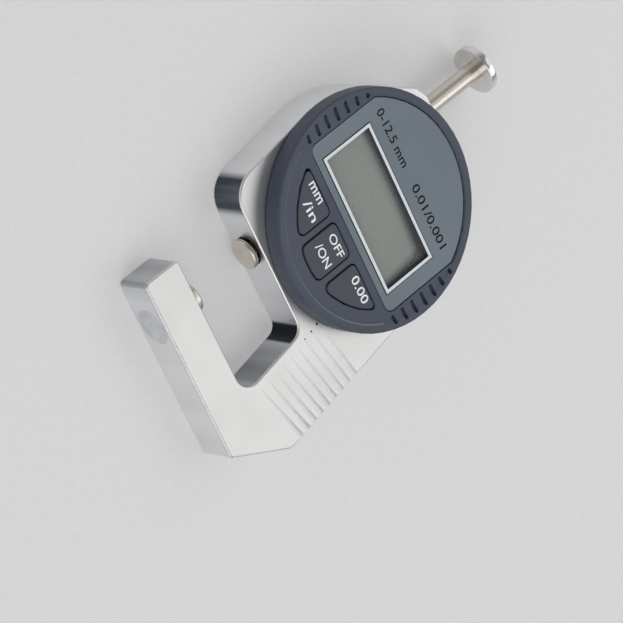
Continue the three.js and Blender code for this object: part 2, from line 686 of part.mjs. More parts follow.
// Ring of rectangular section along Z
function hoop(inner, outer, low, high) {
  return turnedAlongZ([[inner, low], [outer, low], [outer, high], [inner, high]]);
}

const holderLow = COVER_INNER_Z + FIT;
const holderTop = SENSOR_LEDGE_Z;

function cellHolder() {
  const wall = hoop(CELL_R + FIT, HOLDER_R, holderLow, holderTop);
  const reach = HOLDER_R + OVERRUN;
  const slot = [-HOLDER_LEAF_SLOT, HOLDER_LEAF_SLOT];
  return wall.subtract(block([0, reach], slot, [CELL_TOP_Z - CELL_T / 2, holderTop + OVERRUN]));
}

piece(head, 'cell_holder', cellHolder(), BLACK_PLASTIC).position.set(CELL_X, CELL_Y, 0);

// Button cell: wide case below, insulating step and smaller negative cap above
const CELL_STEP = 0.6;
const CELL_CAP_H = 0.7;

function buttonCell() {
  return turnedAlongZ([
    [0, CELL_LOW_Z], [CELL_R, CELL_LOW_Z], [CELL_R, CELL_TOP_Z - CELL_CAP_H],
    [CELL_R - CELL_STEP, CELL_TOP_Z - CELL_CAP_H], [CELL_R - CELL_STEP, CELL_TOP_Z],
    [0, CELL_TOP_Z],
  ]);
}

piece(head, 'button_cell', buttonCell(), NICKEL).position.set(CELL_X, CELL_Y, 0);

// Contact leaves: one under the cell, one over it that bends down the holder's slot
function contactLeaf(low) {
  return block([-CELL_R / 2, CELL_R / 2], [-LEAF_HALF_W, LEAF_HALF_W], [low, low + CONTACT_LEAF_T]);
}

function upperLeaf() {
  const low = CELL_TOP_Z + THIN_FIT;
  const top = low + CONTACT_LEAF_T;
  const y = [-LEAF_HALF_W, LEAF_HALF_W];
  const outer = HOLDER_R + THIN_FIT + CONTACT_LEAF_T;
  const flat = block([-CELL_R / 2, outer], y, [low, top]);
  return flat.add(block([outer - CONTACT_LEAF_T, outer], y, [CELL_TOP_Z - CELL_T / 2 + FIT, top]));
}

const lowerLeafZ = COVER_INNER_Z + THIN_FIT;
piece(head, 'lower_cell_contact', contactLeaf(lowerLeafZ), NICKEL).position.set(CELL_X, CELL_Y, 0);
piece(head, 'upper_cell_contact', upperLeaf(), NICKEL).position.set(CELL_X, CELL_Y, 0);

// Sensor board on its ledge in the casting, reading the strip that passes under it
const CHIP_HALF = 2.2;
const CHIP_T = 0.8;
const CHIP_X = 4;
const CHIP_Y = 12.5;
const sensorBoardLow = SENSOR_LEDGE_Z + FIT;
const sensorBoardTop = sensorBoardLow + SENSOR_BOARD_T;
piece(head, 'sensor_board', disc(0, 0, SENSOR_BOARD_R, sensorBoardLow, sensorBoardTop), BOARD);
const chipTop = sensorBoardLow - THIN_FIT;
const chipX = [CHIP_X - CHIP_HALF, CHIP_X + CHIP_HALF];
const chipY = [CHIP_Y - CHIP_HALF, CHIP_Y + CHIP_HALF];
piece(head, 'sensor_chip', block(chipX, chipY, [chipTop - CHIP_T, chipTop]), BLACK_PLASTIC);

// Head ring: screwed to the casting, clamps the sensor board and lets the display turn
const ringTop = FIT + RING_T;

function headRing() {
  let body = turnedAlongZ([
    [RING_INNER_R, FIT], [RING_FOOT_R, FIT], [RING_FOOT_R, ringTop - RING_RIM_T],
    [RING_RIM_R, ringTop - RING_RIM_T], [RING_RIM_R, ringTop], [RING_INNER_R, ringTop],
  ]);
  for (const [x, y] of RING_SCREWS) {
    const floor = ringTop - RING_SCREW_HEAD_T - THIN_FIT;
    body = body.subtract(disc(x, y, RING_SCREW_R + THIN_FIT, 0, ringTop + OVERRUN));
    body = body.subtract(disc(x, y, RING_SCREW_HEAD_R + THIN_FIT / 2, floor, ringTop + OVERRUN));
  }
  return body;
}

function ringScrew() {
  const headLow = ringTop - RING_SCREW_HEAD_T;
  const shank = disc(0, 0, RING_SCREW_R, ringTop - RING_T - RING_SCREW_L, headLow);
  return shank.add(disc(0, 0, RING_SCREW_HEAD_R, headLow, ringTop));
}

piece(display, 'head_ring', headRing(), BLACK_PLASTIC);
RING_SCREWS.forEach(([x, y], i) => {
  piece(display, `head_ring_screw_${i + 1}`, ringScrew(), BLACKENED_STEEL).position.set(x, y, 0);
});

// Heights inside the display, from the front of the casting
const FACE_Z = DISPLAY_H - RIM_STEP;
const FACE_INNER_Z = FACE_Z - FACE_WALL;
const PANEL_TOP_Z = FACE_Z - THIN_FIT / 2;
const PANEL_FLOOR_Z = PANEL_TOP_Z - PANEL_T - FIT;
const SNAP_RING_T = 0.3;
const DISPLAY_BOARD_R = RING_INNER_R - 2 * FIT;
const DISPLAY_BOARD_LOW = THIN_FIT;
const DISPLAY_BOARD_T = 0.5;
const DISPLAY_BOARD_TOP = DISPLAY_BOARD_LOW + DISPLAY_BOARD_T;
const LCD_T = 1;
const LCD_BORDER = 0.9;
const LCD_TOP_Z = FACE_INNER_Z - FIT;
const LCD_LOW_Z = LCD_TOP_Z - LCD_T;
const POST_R = 0.9;
const POST_SET = 1.6;
const POST_ANGLE = THREE.MathUtils.degToRad(53);
const POST_PITCH_R = DISPLAY_BOARD_R - POST_SET;
const POST_SIDE_X = POST_PITCH_R * Math.cos(POST_ANGLE);
const POST_HIGH_Y = POST_PITCH_R * Math.sin(POST_ANGLE);
const POST_LOW_Y = 8.2;
const POSTS = [[-POST_SIDE_X, POST_HIGH_Y], [POST_SIDE_X, POST_HIGH_Y], [0, -POST_LOW_Y]];

// Outline of the printed panel: a round top on straight sides
function panelOutline(grow) {
  const radius = PANEL_R + grow;
  const half = PANEL_HALF_W + grow;
  const low = -PANEL_LOW - grow;
  const shoulder = Math.acos(half / radius);
  const corner = (x) => new THREE.Vector2(x, low);
  const left = new THREE.Vector2(-half, 0);
  const right = new THREE.Vector2(half, 0);
  return [
    ...fillet(left, corner(-half), corner(half), PANEL_FILLET + grow),
    ...fillet(corner(-half), corner(half), right, PANEL_FILLET + grow),
    ...arc(0, 0, radius, shoulder, Math.PI - shoulder),
  ];
}

function rectangle(width, height, y, radius = 0) {
  const x = width / 2;
  const tall = height / 2;
  const corners = [[-x, y - tall], [x, y - tall], [x, y + tall], [-x, y + tall]];
  return roundedOutline(corners.map(([cx, cy]) => [new THREE.Vector2(cx, cy), radius]));
}

// Outline of a button between two edges: a straight top, upright sides and a round bottom.
// An edge past the end of the top is left out, and the top then meets the round bottom.
function buttonOutline(left, right, grow) {
  const radius = BUTTON_R + grow;
  const top = -BUTTON_TOP + grow;
  const reach = Math.sqrt(radius ** 2 - top ** 2);
  const from = Math.max(left - grow, -reach);
  const to = Math.min(right + grow, reach);
  const steps = Math.max(2, Math.floor((to - from) / (2 * (BUTTON_FILLET + grow))));
  const corners = [];
  for (let i = 0; i <= steps; i += 1) {
    const x = THREE.MathUtils.lerp(from, to, i / steps);
    corners.push([new THREE.Vector2(x, -Math.sqrt(radius ** 2 - x ** 2)), 0]);
  }
  corners[0][1] = from > -reach ? BUTTON_FILLET + grow : BUTTON_TIP_FILLET;
  corners[steps][1] = to < reach ? BUTTON_FILLET + grow : BUTTON_TIP_FILLET;
  if (to < reach) corners.push([new THREE.Vector2(to, top), BUTTON_FILLET + grow]);
  if (from > -reach) corners.push([new THREE.Vector2(from, top), BUTTON_FILLET + grow]);
  return roundedOutline(corners);
}

const BUTTONS = [
  ['button_unit', -BUTTON_R, -SIDE_BUTTON_X],
  ['button_power', -POWER_HALF_W, POWER_HALF_W],
  ['button_zero', SIDE_BUTTON_X, BUTTON_R],
];

// Finger notches: short round-ended slots down both sides of the face
const NOTCH_COUNT = 7;
const NOTCH_PITCH = 2.83;
const NOTCH_MID_Y = 1.2;
const NOTCH_PANEL_GAP = 0.8;
const NOTCH_RIM_GAP = 1.1;
const NOTCH_IN_X = PANEL_HALF_W + NOTCH_PANEL_GAP;
const NOTCH_OUT_R = DISPLAY_R - NOTCH_RIM_GAP;
const NOTCH_R = 0.42;
const NOTCH_DEPTH = 1;

function notchCutters() {
  const cutters = [];
  for (let i = 0; i < NOTCH_COUNT; i += 1) {
    const y = NOTCH_MID_Y + NOTCH_PITCH * (i - (NOTCH_COUNT - 1) / 2);
    const inner = NOTCH_IN_X + NOTCH_R;
    const outer = Math.max(Math.sqrt(NOTCH_OUT_R ** 2 - y ** 2) - NOTCH_R, inner + NOTCH_R / 2);
    for (const [left, right] of [[-outer, -inner], [inner, outer]]) {
      const outline = [
        ...arc(right, y, NOTCH_R, -Math.PI / 2, Math.PI / 2),
        ...arc(left, y, NOTCH_R, Math.PI / 2, 3 * Math.PI / 2),
      ];
      cutters.push(plate(outline, DISPLAY_H - NOTCH_DEPTH, DISPLAY_H + OVERRUN));
    }
  }
  return cutters;
}

// Front bezel: one moulding with the rim, the face, the panel recess and the posts
const OPENING_W = WINDOW_W - 2 * WINDOW_LINE;
const OPENING_H = WINDOW_H - 2 * WINDOW_LINE;

function frontBezel() {
  const above = DISPLAY_H + OVERRUN;
  const half = DISPLAY_EDGE / 2;
  const rimIn = DISPLAY_R - RIM_W;
  let body = turnedAlongZ([
    [0, FACE_INNER_Z], [SHELL_INNER_R, FACE_INNER_Z], [SHELL_INNER_R, FIT], [DISPLAY_R, FIT],
    [DISPLAY_R, DISPLAY_H - DISPLAY_EDGE], [DISPLAY_R - half / 2, DISPLAY_H - half / 2],
    [DISPLAY_R - DISPLAY_EDGE, DISPLAY_H], [rimIn + RIM_STEP, DISPLAY_H], [rimIn, FACE_Z],
    [0, FACE_Z],
  ]);
  body = body.subtract(plate(panelOutline(THIN_FIT), PANEL_FLOOR_Z, above));
  body = body.subtract(plate(rectangle(OPENING_W, OPENING_H, WINDOW_Y), 0, above));
  for (const [, left, right] of BUTTONS) {
    body = body.subtract(plate(buttonOutline(left, right, FIT), 0, above));
  }
  for (const cutter of notchCutters()) body = body.subtract(cutter);
  for (const [x, y] of POSTS) {
    body = body.add(disc(x, y, POST_R, DISPLAY_BOARD_LOW, FACE_INNER_Z + FIT));
  }
  return body;
}

piece(display, 'front_bezel', frontBezel(), BEZEL_PLASTIC);

// Printed panel round the window, and the white frame set into it
function facePanel() {
  const body = plate(panelOutline(0), PANEL_TOP_Z - PANEL_T, PANEL_TOP_Z);
  const width = WINDOW_W + 2 * THIN_FIT;
  const height = WINDOW_H + 2 * THIN_FIT;
  return body.subtract(plate(rectangle(width, height, WINDOW_Y), 0, DISPLAY_H));
}

function windowFrame() {
  const low = PANEL_FLOOR_Z + THIN_FIT;
  const body = plate(rectangle(WINDOW_W, WINDOW_H, WINDOW_Y), low, FACE_Z);
  return body.subtract(plate(rectangle(OPENING_W, OPENING_H, WINDOW_Y), 0, DISPLAY_H));
}

const WINDOW_T = 0.6;

function windowPane() {
  const outline = rectangle(OPENING_W - 2 * THIN_FIT, OPENING_H - 2 * THIN_FIT, WINDOW_Y);
  return plate(outline, FACE_INNER_Z, FACE_INNER_Z + WINDOW_T);
}

piece(display, 'face_panel', facePanel(), PANEL_FILM);
piece(display, 'window_frame', windowFrame(), WHITE_PRINT);
piece(display, 'window_pane', windowPane(), CLEAR_PANE);

// Liquid crystal cell, on two rubber strips that join it to the display board
const STRIP_HALF_L = 14;
const STRIP_W = 1.2;
const LCD_W = OPENING_W + 2 * LCD_BORDER;
const LCD_H = OPENING_H + 2 * LCD_BORDER;

function rubberStrip(side) {
  const outer = WINDOW_Y + side * (LCD_H / 2 - THIN_FIT);
  const inner = outer - side * STRIP_W;
  const y = [Math.min(inner, outer), Math.max(inner, outer)];
  const z = [DISPLAY_BOARD_TOP + THIN_FIT, LCD_LOW_Z - THIN_FIT];
  return block([-STRIP_HALF_L, STRIP_HALF_L], y, z);
}

piece(display, 'lcd_glass', plate(rectangle(LCD_W, LCD_H, WINDOW_Y), LCD_LOW_Z, LCD_TOP_Z), LCD_GLASS);
piece(display, 'rubber_strip_upper', rubberStrip(1), GREY_RUBBER);
piece(display, 'rubber_strip_lower', rubberStrip(-1), GREY_RUBBER);

// Display board, held on the posts of the bezel, and the keypad mat on it, whose domes
// the flanges of the buttons press down
const BUTTON_FLANGE_T = 0.5;
const FLANGE_TOP_Z = FACE_INNER_Z - FIT;
const FLANGE_LOW_Z = FLANGE_TOP_Z - BUTTON_FLANGE_T;
const KEYPAD_T = 0.4;
const KEYPAD_MARGIN = 0.6;
const DOME_R = 1.2;
const DOME_Y = -14;
const DOME_SIDE_X = 9.5;

function displayBoard() {
  let body = disc(0, 0, DISPLAY_BOARD_R, DISPLAY_BOARD_LOW, DISPLAY_BOARD_TOP);
  for (const [x, y] of POSTS) body = body.subtract(disc(x, y, POST_R + FIT, 0, DISPLAY_H));
  return body;
}

function keypadMat() {
  const low = DISPLAY_BOARD_TOP + THIN_FIT;
  const domeTop = FLANGE_LOW_Z - BUTTON_TRAVEL - THIN_FIT / 2;
  const top = -BUTTON_TOP + KEYPAD_MARGIN;
  const start = Math.asin(-top / DISPLAY_BOARD_R);
  let body = plate(arc(0, 0, DISPLAY_BOARD_R, Math.PI + start, 2 * Math.PI - start), low, low + KEYPAD_T);
  for (const x of [-DOME_SIDE_X, 0, DOME_SIDE_X]) {
    body = body.add(disc(x, DOME_Y, DOME_R, low, domeTop));
  }
  return body;
}

piece(display, 'display_board', displayBoard(), BOARD);
piece(display, 'keypad_mat', keypadMat(), GREY_RUBBER);

// Snap ring that holds the bezel under the rim of the head ring
function snapRing() {
  return hoop(RING_FOOT_R + FIT, SHELL_INNER_R - FIT, FIT, FIT + SNAP_RING_T);
}

piece(display, 'snap_ring', snapRing(), POLISHED_STEEL);

// Buttons: each with a flange under the face that keeps it in
const BUTTON_FLANGE = 0.8;
const BUTTON_EDGE = 0.2;

function button(left, right) {
  const top = FACE_Z + BUTTON_PROUD;
  const cap = plate(buttonOutline(left, right, 0), FLANGE_LOW_Z, top, BUTTON_EDGE);
  return cap.add(plate(buttonOutline(left, right, BUTTON_FLANGE), FLANGE_LOW_Z, FLANGE_TOP_Z));
}

for (const [name, left, right] of BUTTONS) {
  piece(display, name, button(left, right), BUTTON_RUBBER);
}

export default gauge;
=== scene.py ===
import math

import bmesh
import bpy
from mathutils import Matrix, Vector


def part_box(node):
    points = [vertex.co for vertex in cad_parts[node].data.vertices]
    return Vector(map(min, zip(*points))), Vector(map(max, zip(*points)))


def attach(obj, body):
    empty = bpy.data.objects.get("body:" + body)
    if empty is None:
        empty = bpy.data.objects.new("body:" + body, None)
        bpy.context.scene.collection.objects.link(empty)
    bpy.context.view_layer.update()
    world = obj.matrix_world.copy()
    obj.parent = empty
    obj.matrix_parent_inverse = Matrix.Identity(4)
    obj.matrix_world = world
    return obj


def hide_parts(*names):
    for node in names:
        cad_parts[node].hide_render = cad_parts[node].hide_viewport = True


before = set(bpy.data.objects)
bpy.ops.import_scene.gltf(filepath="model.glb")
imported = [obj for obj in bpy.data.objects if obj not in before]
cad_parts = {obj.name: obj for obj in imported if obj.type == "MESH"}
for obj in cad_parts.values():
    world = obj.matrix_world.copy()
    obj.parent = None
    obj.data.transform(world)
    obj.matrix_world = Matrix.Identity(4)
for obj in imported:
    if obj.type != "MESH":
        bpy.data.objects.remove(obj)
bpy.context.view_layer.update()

# Camera: a long lens well to the lower left and above the gauge, rolled on its side, so that
# the arm points up to the left of the picture and the spindle up to the right. Its place was
# fitted to the display's circles and the edges of the casting.
MM = 0.001
CAMERA_PLACE = Vector((-324.387, -375.125, 669.104)) * MM
CAMERA_AIM = Vector((17.137, 20.592, 4.5)) * MM
CAMERA_ROLL = math.radians(-98.374)

forward = (CAMERA_AIM - CAMERA_PLACE).normalized()
level_right = forward.cross(Vector((0, 0, 1))).normalized()
level_up = level_right.cross(forward)
camera_up = math.cos(CAMERA_ROLL) * level_up + math.sin(CAMERA_ROLL) * level_right
camera_right = forward.cross(camera_up)
bpy.ops.object.camera_add()
camera = bpy.context.object
camera.name = "camera"
turn = Matrix((camera_right, camera_up, -forward)).transposed().to_4x4()
camera.matrix_world = Matrix.Translation(CAMERA_PLACE) @ turn
camera.data.sensor_width = 36
camera.data.lens = 243.48
camera.data.clip_start = 0.05
camera.data.clip_end = 50
bpy.context.scene.camera = camera

# Floor and light: a wide table of pale laminate under soft studio lamps, in a pale room. The
# gauge lies on its back, on the end of its arm and the rim of the lifting cap, which is wider
# than the casting is thick, so the table leans a little to touch both.
TABLE_SIZE = 0.8
HALF_THICKNESS = 4.5 * MM
arm_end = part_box("frame_casting")[0].y
cap_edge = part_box("lift_cap")
table_lean = math.atan((-HALF_THICKNESS - cap_edge[0].z) / (cap_edge[0].y - arm_end))


def linear(code):
    """sRGB hex colour as linear red, green, blue and alpha."""
    parts = [int(code[i:i + 2], 16) / 255 for i in (1, 3, 5)]
    return (*(p / 12.92 if p <= 0.04045 else ((p + 0.055) / 1.055) ** 2.4 for p in parts), 1)


def add(tree, kind, links=None, stops=(), **settings):
    """Adds a shader node. links gives each socket a value or another node's output."""
    made = tree.nodes.new(kind)
    for name, value in settings.items():
        setattr(made, name, value)
    for i, (place, colour) in enumerate(stops):
        steps = made.color_ramp.elements
        step = steps[i] if i < 2 else steps.new(place)
        step.position = place
        step.color = linear(colour)
    for socket, source in (links or {}).items():
        if isinstance(source, bpy.types.NodeSocket):
            tree.links.new(source, made.inputs[socket])
        else:
            made.inputs[socket].default_value = source
    return made


def new_finish(name):
    """An empty material, its node tree and the coordinates of the piece that it is on."""
    material = bpy.data.materials.new(name)
    material.use_nodes = True
    tree = material.node_tree
    tree.nodes.clear()
    return material, tree, add(tree, "ShaderNodeTexCoord").outputs["Object"]


def add_seen(tree):
    """1 where a surface is seen, directly or in metal or glass, and 0 where it only lights."""
    ray = add(tree, "ShaderNodeLightPath").outputs
    direct = add(tree, "ShaderNodeMath", {0: ray["Is Camera Ray"], 1: ray["Is Glossy Ray"]},
                 operation="MAXIMUM")
    return add(tree, "ShaderNodeMath", {0: direct.outputs[0], 1: ray["Is Transmission Ray"]},
               operation="MAXIMUM").outputs[0]


def per(size):
    """Texture scale that gives a pattern this size in millimetres."""
    return 1 / (size * MM)


def deselect():
    """Leaves nothing selected, in object mode."""
    if bpy.context.object and bpy.context.object.mode != "OBJECT":
        bpy.ops.object.mode_set(mode="OBJECT")
    bpy.ops.object.select_all(action="DESELECT")


deselect()
bpy.ops.mesh.primitive_plane_add(size=TABLE_SIZE, location=(0, arm_end, -HALF_THICKNESS),
                                 rotation=(-table_lean, 0, 0))
table = bpy.context.object
table.name = "table"

# Matt laminate: even and pale, with a faint fleck. A little glow keeps it pale to the camera
# and in metal, and lights nothing.
FLOOR_GLOW = 0.26
matt_laminate, tree, place = new_finish("pale_matt_laminate")
fleck = add(tree, "ShaderNodeTexNoise", {"Vector": place, "Scale": per(1.2), "Detail": 2.0})
tone = add(tree, "ShaderNodeValToRGB", {"Fac": fleck.outputs[0]},
           [(0.3, "#bdbdbc"), (0.7, "#c2c1c0")])
seen = add_seen(tree)
glow = add(tree, "ShaderNodeMath", {0: seen, 1: FLOOR_GLOW}, operation="MULTIPLY")
shader = add(tree, "ShaderNodeBsdfPrincipled", {
    "Base Color": tone.outputs["Color"], "Roughness": 0.7, "Emission Color": linear("#f4f4f4"),
    "Emission Strength": glow.outputs[0]})
add(tree, "ShaderNodeOutputMaterial", {"Surface": shader.outputs["BSDF"]})
table.data.materials.append(matt_laminate)

LAMPS = [
    ("overhead_softbox", (0.45, 0.62, 0.85), 0.75, 1.7),
    ("far_softbox", (-0.15, 0.95, 0.75), 1.0, 1.6),
    ("front_softbox", (0.45, -0.85, 0.75), 1.4, 6.5),
]
for name, at, size, watts in LAMPS:
    bpy.ops.object.light_add(type="AREA", location=at)
    lamp = bpy.context.object
    lamp.name = name
    lamp.data.shape = "DISK"
    lamp.data.size = size
    lamp.data.energy = watts
    lamp.rotation_euler = (CAMERA_AIM - Vector(at)).to_track_quat("-Z", "Y").to_euler()

# The room is pale at eye level and in half shade above, so metal shows it between the lamps.
room = bpy.data.worlds.new("pale_room")
room.use_nodes = True
tree = room.node_tree
tree.nodes.clear()
way = add(tree, "ShaderNodeTexCoord").outputs["Generated"]
rise = add(tree, "ShaderNodeSeparateXYZ", {"Vector": way}).outputs["Z"]
shade = add(tree, "ShaderNodeMapRange", {
    "Value": rise, "From Min": 0.1, "From Max": 0.55, "To Min": 0.72, "To Max": 0.28})
strength = add(tree, "ShaderNodeMapRange", {
    "Value": add_seen(tree), "To Min": 0.5, "To Max": shade.outputs["Result"]})
background = add(tree, "ShaderNodeBackground",
                 {"Color": linear("#f2f4f8"), "Strength": strength.outputs["Result"]})
add(tree, "ShaderNodeOutputWorld", {"Surface": background.outputs["Background"]})
bpy.context.scene.world = room
bpy.context.scene.view_settings.view_transform = "Standard"

# Frame casting: one zinc die casting with the open throat, the lower arm, the ribbed neck and
# the flat head. Its faces are linished and satin chromed, and its walls are left as cast under
# the chrome, so they mirror the table in soft waves.
SMOOTH_TO = math.radians(50)
FLAT_TO = math.radians(0.4)
WELD = 0.002


def dressed(node, name, body, slot, finish, rounding=0.0):
    """A copy of a CAD node with its triangles joined and its sharp edges rounded."""
    deselect()
    piece = bpy.data.objects.new(name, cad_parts[node].data.copy())
    bpy.context.scene.collection.objects.link(piece)
    bpy.context.view_layer.objects.active = piece
    piece.select_set(True)
    bpy.ops.mesh.customdata_custom_splitnormals_clear()
    bpy.ops.object.mode_set(mode="EDIT")
    bpy.ops.mesh.select_all(action="SELECT")
    bpy.ops.mesh.remove_doubles(threshold=WELD * MM)
    bpy.ops.mesh.dissolve_limited(angle_limit=FLAT_TO)
    if rounding:
        bpy.ops.mesh.quads_convert_to_tris(quad_method="BEAUTY", ngon_method="BEAUTY")
        bpy.ops.object.mode_set(mode="OBJECT")
        bevel = piece.modifiers.new("round", "BEVEL")
        bevel.width = rounding * MM
        bevel.segments = 3
        bevel.limit_method = "ANGLE"
        bevel.angle_limit = SMOOTH_TO
        bevel.use_clamp_overlap = False
        bpy.ops.object.modifier_apply(modifier=bevel.name)
        bpy.ops.object.mode_set(mode="EDIT")
        bpy.ops.mesh.select_all(action="SELECT")
        # Where roundings meet, the bevel leaves points on each other.
        bpy.ops.mesh.remove_doubles(threshold=WELD * MM)
        bpy.ops.mesh.dissolve_limited(angle_limit=FLAT_TO)
    bpy.ops.object.mode_set(mode="OBJECT")
    piece.data.materials.clear()
    complete(piece, body, slot, finish, node)
    return piece


def complete(piece, body, slot, finish, *nodes):
    """Smooths a finished piece, gives it its finish and puts it on its body."""
    deselect()
    bpy.context.view_layer.objects.active = piece
    piece.select_set(True)
    bpy.ops.object.shade_smooth_by_angle(angle=SMOOTH_TO)
    weighted = piece.modifiers.new("flat faces", "WEIGHTED_NORMAL")
    weighted.keep_sharp = True
    bpy.ops.object.modifier_apply(modifier=weighted.name)
    piece.data.materials.append(finish)
    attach(piece, body)
    if nodes:
        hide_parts(*nodes)


# Satin chrome on linished zinc: pale and even, with a grain that spreads the highlights. The
# grain is drawn coarser than it is, so that it shows. Dark specks are drawn into the colour at
# the throat ends of the upper three flutes, each with its place and radius.
DARK_SPECKS = [(20.1, 20.45, 0.34), (20.6, 18.5, 0.28), (21.05, 16.4, 0.24)]
SPECK_DARKENING = -2.0
satin_chrome, tree, place = new_finish("satin_chrome_on_linished_zinc")
grain = add(tree, "ShaderNodeTexNoise", {"Vector": place, "Scale": per(0.3), "Detail": 3.0})
cloud = add(tree, "ShaderNodeTexNoise", {"Vector": place, "Scale": per(11), "Detail": 1.0})
tone_and_specks = cloud.outputs[0]
# Each speck darkens the colour round its place.
for x, y, reach in DARK_SPECKS:
    centred = add(tree, "ShaderNodeMapping", {
        "Vector": place, "Location": (x * MM, y * MM, HALF_THICKNESS),
        "Scale": (reach * MM, reach * MM, reach * MM)}, vector_type="TEXTURE")
    speck = add(tree, "ShaderNodeTexGradient", {"Vector": centred.outputs[0]},
               gradient_type="SPHERICAL")
    tone_and_specks = add(tree, "ShaderNodeMath", {0: speck.outputs["Fac"], 1: SPECK_DARKENING, 2: tone_and_specks},
                  operation="MULTIPLY_ADD").outputs[0]
tone = add(tree, "ShaderNodeValToRGB", {"Fac": tone_and_specks},
           [(0.0, "#3a3b38"), (0.25, "#dededb"), (0.7, "#e9e8e6")])
gloss = add(tree, "ShaderNodeMapRange", {"Value": grain.outputs[0], "To Min": 0.38, "To Max": 0.5})
bump = add(tree, "ShaderNodeBump", {
    "Height": grain.outputs[0], "Strength": 0.12, "Distance": 0.02 * MM})
shader = add(tree, "ShaderNodeBsdfPrincipled", {
    "Base Color": tone.outputs["Color"], "Metallic": 1.0, "Roughness": gloss.outputs["Result"],
    "Normal": bump.outputs["Normal"]})
add(tree, "ShaderNodeOutputMaterial", {"Surface": shader.outputs["BSDF"]})

# Bright chrome on the cast walls: a mirror with soft waves, whose tone drifts a little. Its colour
# is painted darker in patches, as dark reflection and shade: at a corner of the head, in the
# throat's end and its upper corner, and on the arm's tip. Each has a place, a reach and a depth.
PAINTED_DARK_PATCHES = [(-13.2, 16.9, 5.4, -0.48), (20, 15.8, 3, -0.62), (20.7, 8.5, 10, -0.32),
         (-10.1, -6.2, 6.6, -0.25), (-10.2, -10.8, 0.9, -0.1)]
PAINTED_PATCH_EDGE = 0.4
WAVE_STRETCH = 0.12
bright_chrome, tree, place = new_finish("bright_chrome_on_cast_zinc")
bands = add(tree, "ShaderNodeMapping", {"Vector": place, "Scale": (1, 1, WAVE_STRETCH)}).outputs[0]
wave = add(tree, "ShaderNodeTexNoise", {"Vector": bands, "Scale": per(6), "Detail": 1.0})
cloud = add(tree, "ShaderNodeTexNoise", {"Vector": bands, "Scale": per(9), "Detail": 3.0})
drift_and_painted_shade = add(tree, "ShaderNodeMapRange", {
    "Value": cloud.outputs[0], "To Min": 0.35, "To Max": 0.85}).outputs[0]
# Each of these darkens the chrome's colour: painted shade and painted dark reflection.
for x, y, reach, depth in PAINTED_DARK_PATCHES:
    centred = add(tree, "ShaderNodeMapping", {
        "Vector": place, "Location": (x * MM, y * MM, 0), "Scale": (reach * MM, reach * MM, 1)},
        vector_type="TEXTURE")
    painted_spot = add(tree, "ShaderNodeTexGradient", {"Vector": centred.outputs[0]},
                gradient_type="SPHERICAL")
    painted_darkening = add(tree, "ShaderNodeMapRange", {
        "Value": painted_spot.outputs["Fac"], "From Max": PAINTED_PATCH_EDGE, "To Max": depth})
    drift_and_painted_shade = add(tree, "ShaderNodeMath", {0: drift_and_painted_shade, 1: painted_darkening.outputs["Result"]}).outputs[0]
tone = add(tree, "ShaderNodeValToRGB", {"Fac": drift_and_painted_shade},
           [(0.0, "#22252b"), (0.1, "#474d59"), (0.44, "#dfe0e3"), (0.7, "#f4f4f4")])
gloss = add(tree, "ShaderNodeMapRange", {"Value": wave.outputs[0], "To Min": 0.24, "To Max": 0.36})
bump = add(tree, "ShaderNodeBump", {
    "Height": wave.outputs[0], "Strength": 0.08, "Distance": 0.1 * MM})
shader = add(tree, "ShaderNodeBsdfPrincipled", {
    "Base Color": tone.outputs["Color"], "Metallic": 1.0, "Roughness": gloss.outputs["Result"],
    "Normal": bump.outputs["Normal"]})
add(tree, "ShaderNodeOutputMaterial", {"Surface": shader.outputs["BSDF"]})

# Chrome greyed as painted shade: the grip flutes, left as cut, are coloured a shade greyer than
# the linished faces as shade in the grooves, and the arm's lower edge is greyed to dim its
# highlight.
greyed_chrome_for_shade, tree, place = new_finish("chrome_greyed_for_painted_shade")
chatter = add(tree, "ShaderNodeTexNoise", {"Vector": place, "Scale": per(0.6), "Detail": 2.0})
tone = add(tree, "ShaderNodeValToRGB", {"Fac": chatter.outputs[0]},
           [(0.3, "#c6c7c6"), (0.7, "#d2d2d0")])
shader = add(tree, "ShaderNodeBsdfPrincipled", {
    "Base Color": tone.outputs["Color"], "Metallic": 1.0, "Roughness": 0.38})
add(tree, "ShaderNodeOutputMaterial", {"Surface": shader.outputs["BSDF"]})

# Faces are told apart by their normals: the walls stand nearly upright, the flutes lean a
# little, and the edge that is greyed to dim its highlight slopes away from the head.
WALL_TILT = 0.25
FLUTE_TILTS = (0.95, 0.9998)
DIMMED_EDGE_Y = -8
DIMMED_EDGE_TILT = -0.2
casting = dressed("frame_casting", "casting", "frame", "satin_chrome", satin_chrome)
casting.data.materials.append(bright_chrome)
casting.data.materials.append(greyed_chrome_for_shade)
for face in casting.data.polygons:
    flute = FLUTE_TILTS[0] < face.normal.z < FLUTE_TILTS[1]
    dimmed_edge = face.center.y < DIMMED_EDGE_Y * MM and face.normal.y < DIMMED_EDGE_TILT
    if abs(face.normal.z) <= WALL_TILT:
        face.material_index = 1
    # Painted shade: the flutes and the lower edge take the greyer chrome.
    elif flute or dimmed_edge:
        face.material_index = 2

# Anvil: a hard steel disc on a stem that is pressed into the arm. Its face is lapped flat,
# which leaves it warm grey with a soft sheen, and its rim is chamfered.
SIDES = 96
ANVIL_R = 3.35
ANVIL_HEAD = 1.4
ANVIL_STEM_R = 2.5
ANVIL_CHAMFER = 0.3
# A face is square to the spindle above this cosine, and at a height within this distance.
SQUARE_ON = 0.9
NEAR = 0.01


def cylinder(name, radius, low, high, sides=SIDES):
    """A closed cylinder on the spindle's axis between two heights."""
    deselect()
    bpy.ops.mesh.primitive_cylinder_add(
        vertices=sides, radius=radius * MM, depth=(high - low) * MM,
        location=(0, (low + high) / 2 * MM, 0), rotation=(math.pi / 2, 0, 0))
    piece = bpy.context.object
    piece.name = name
    bpy.ops.object.transform_apply()
    return piece


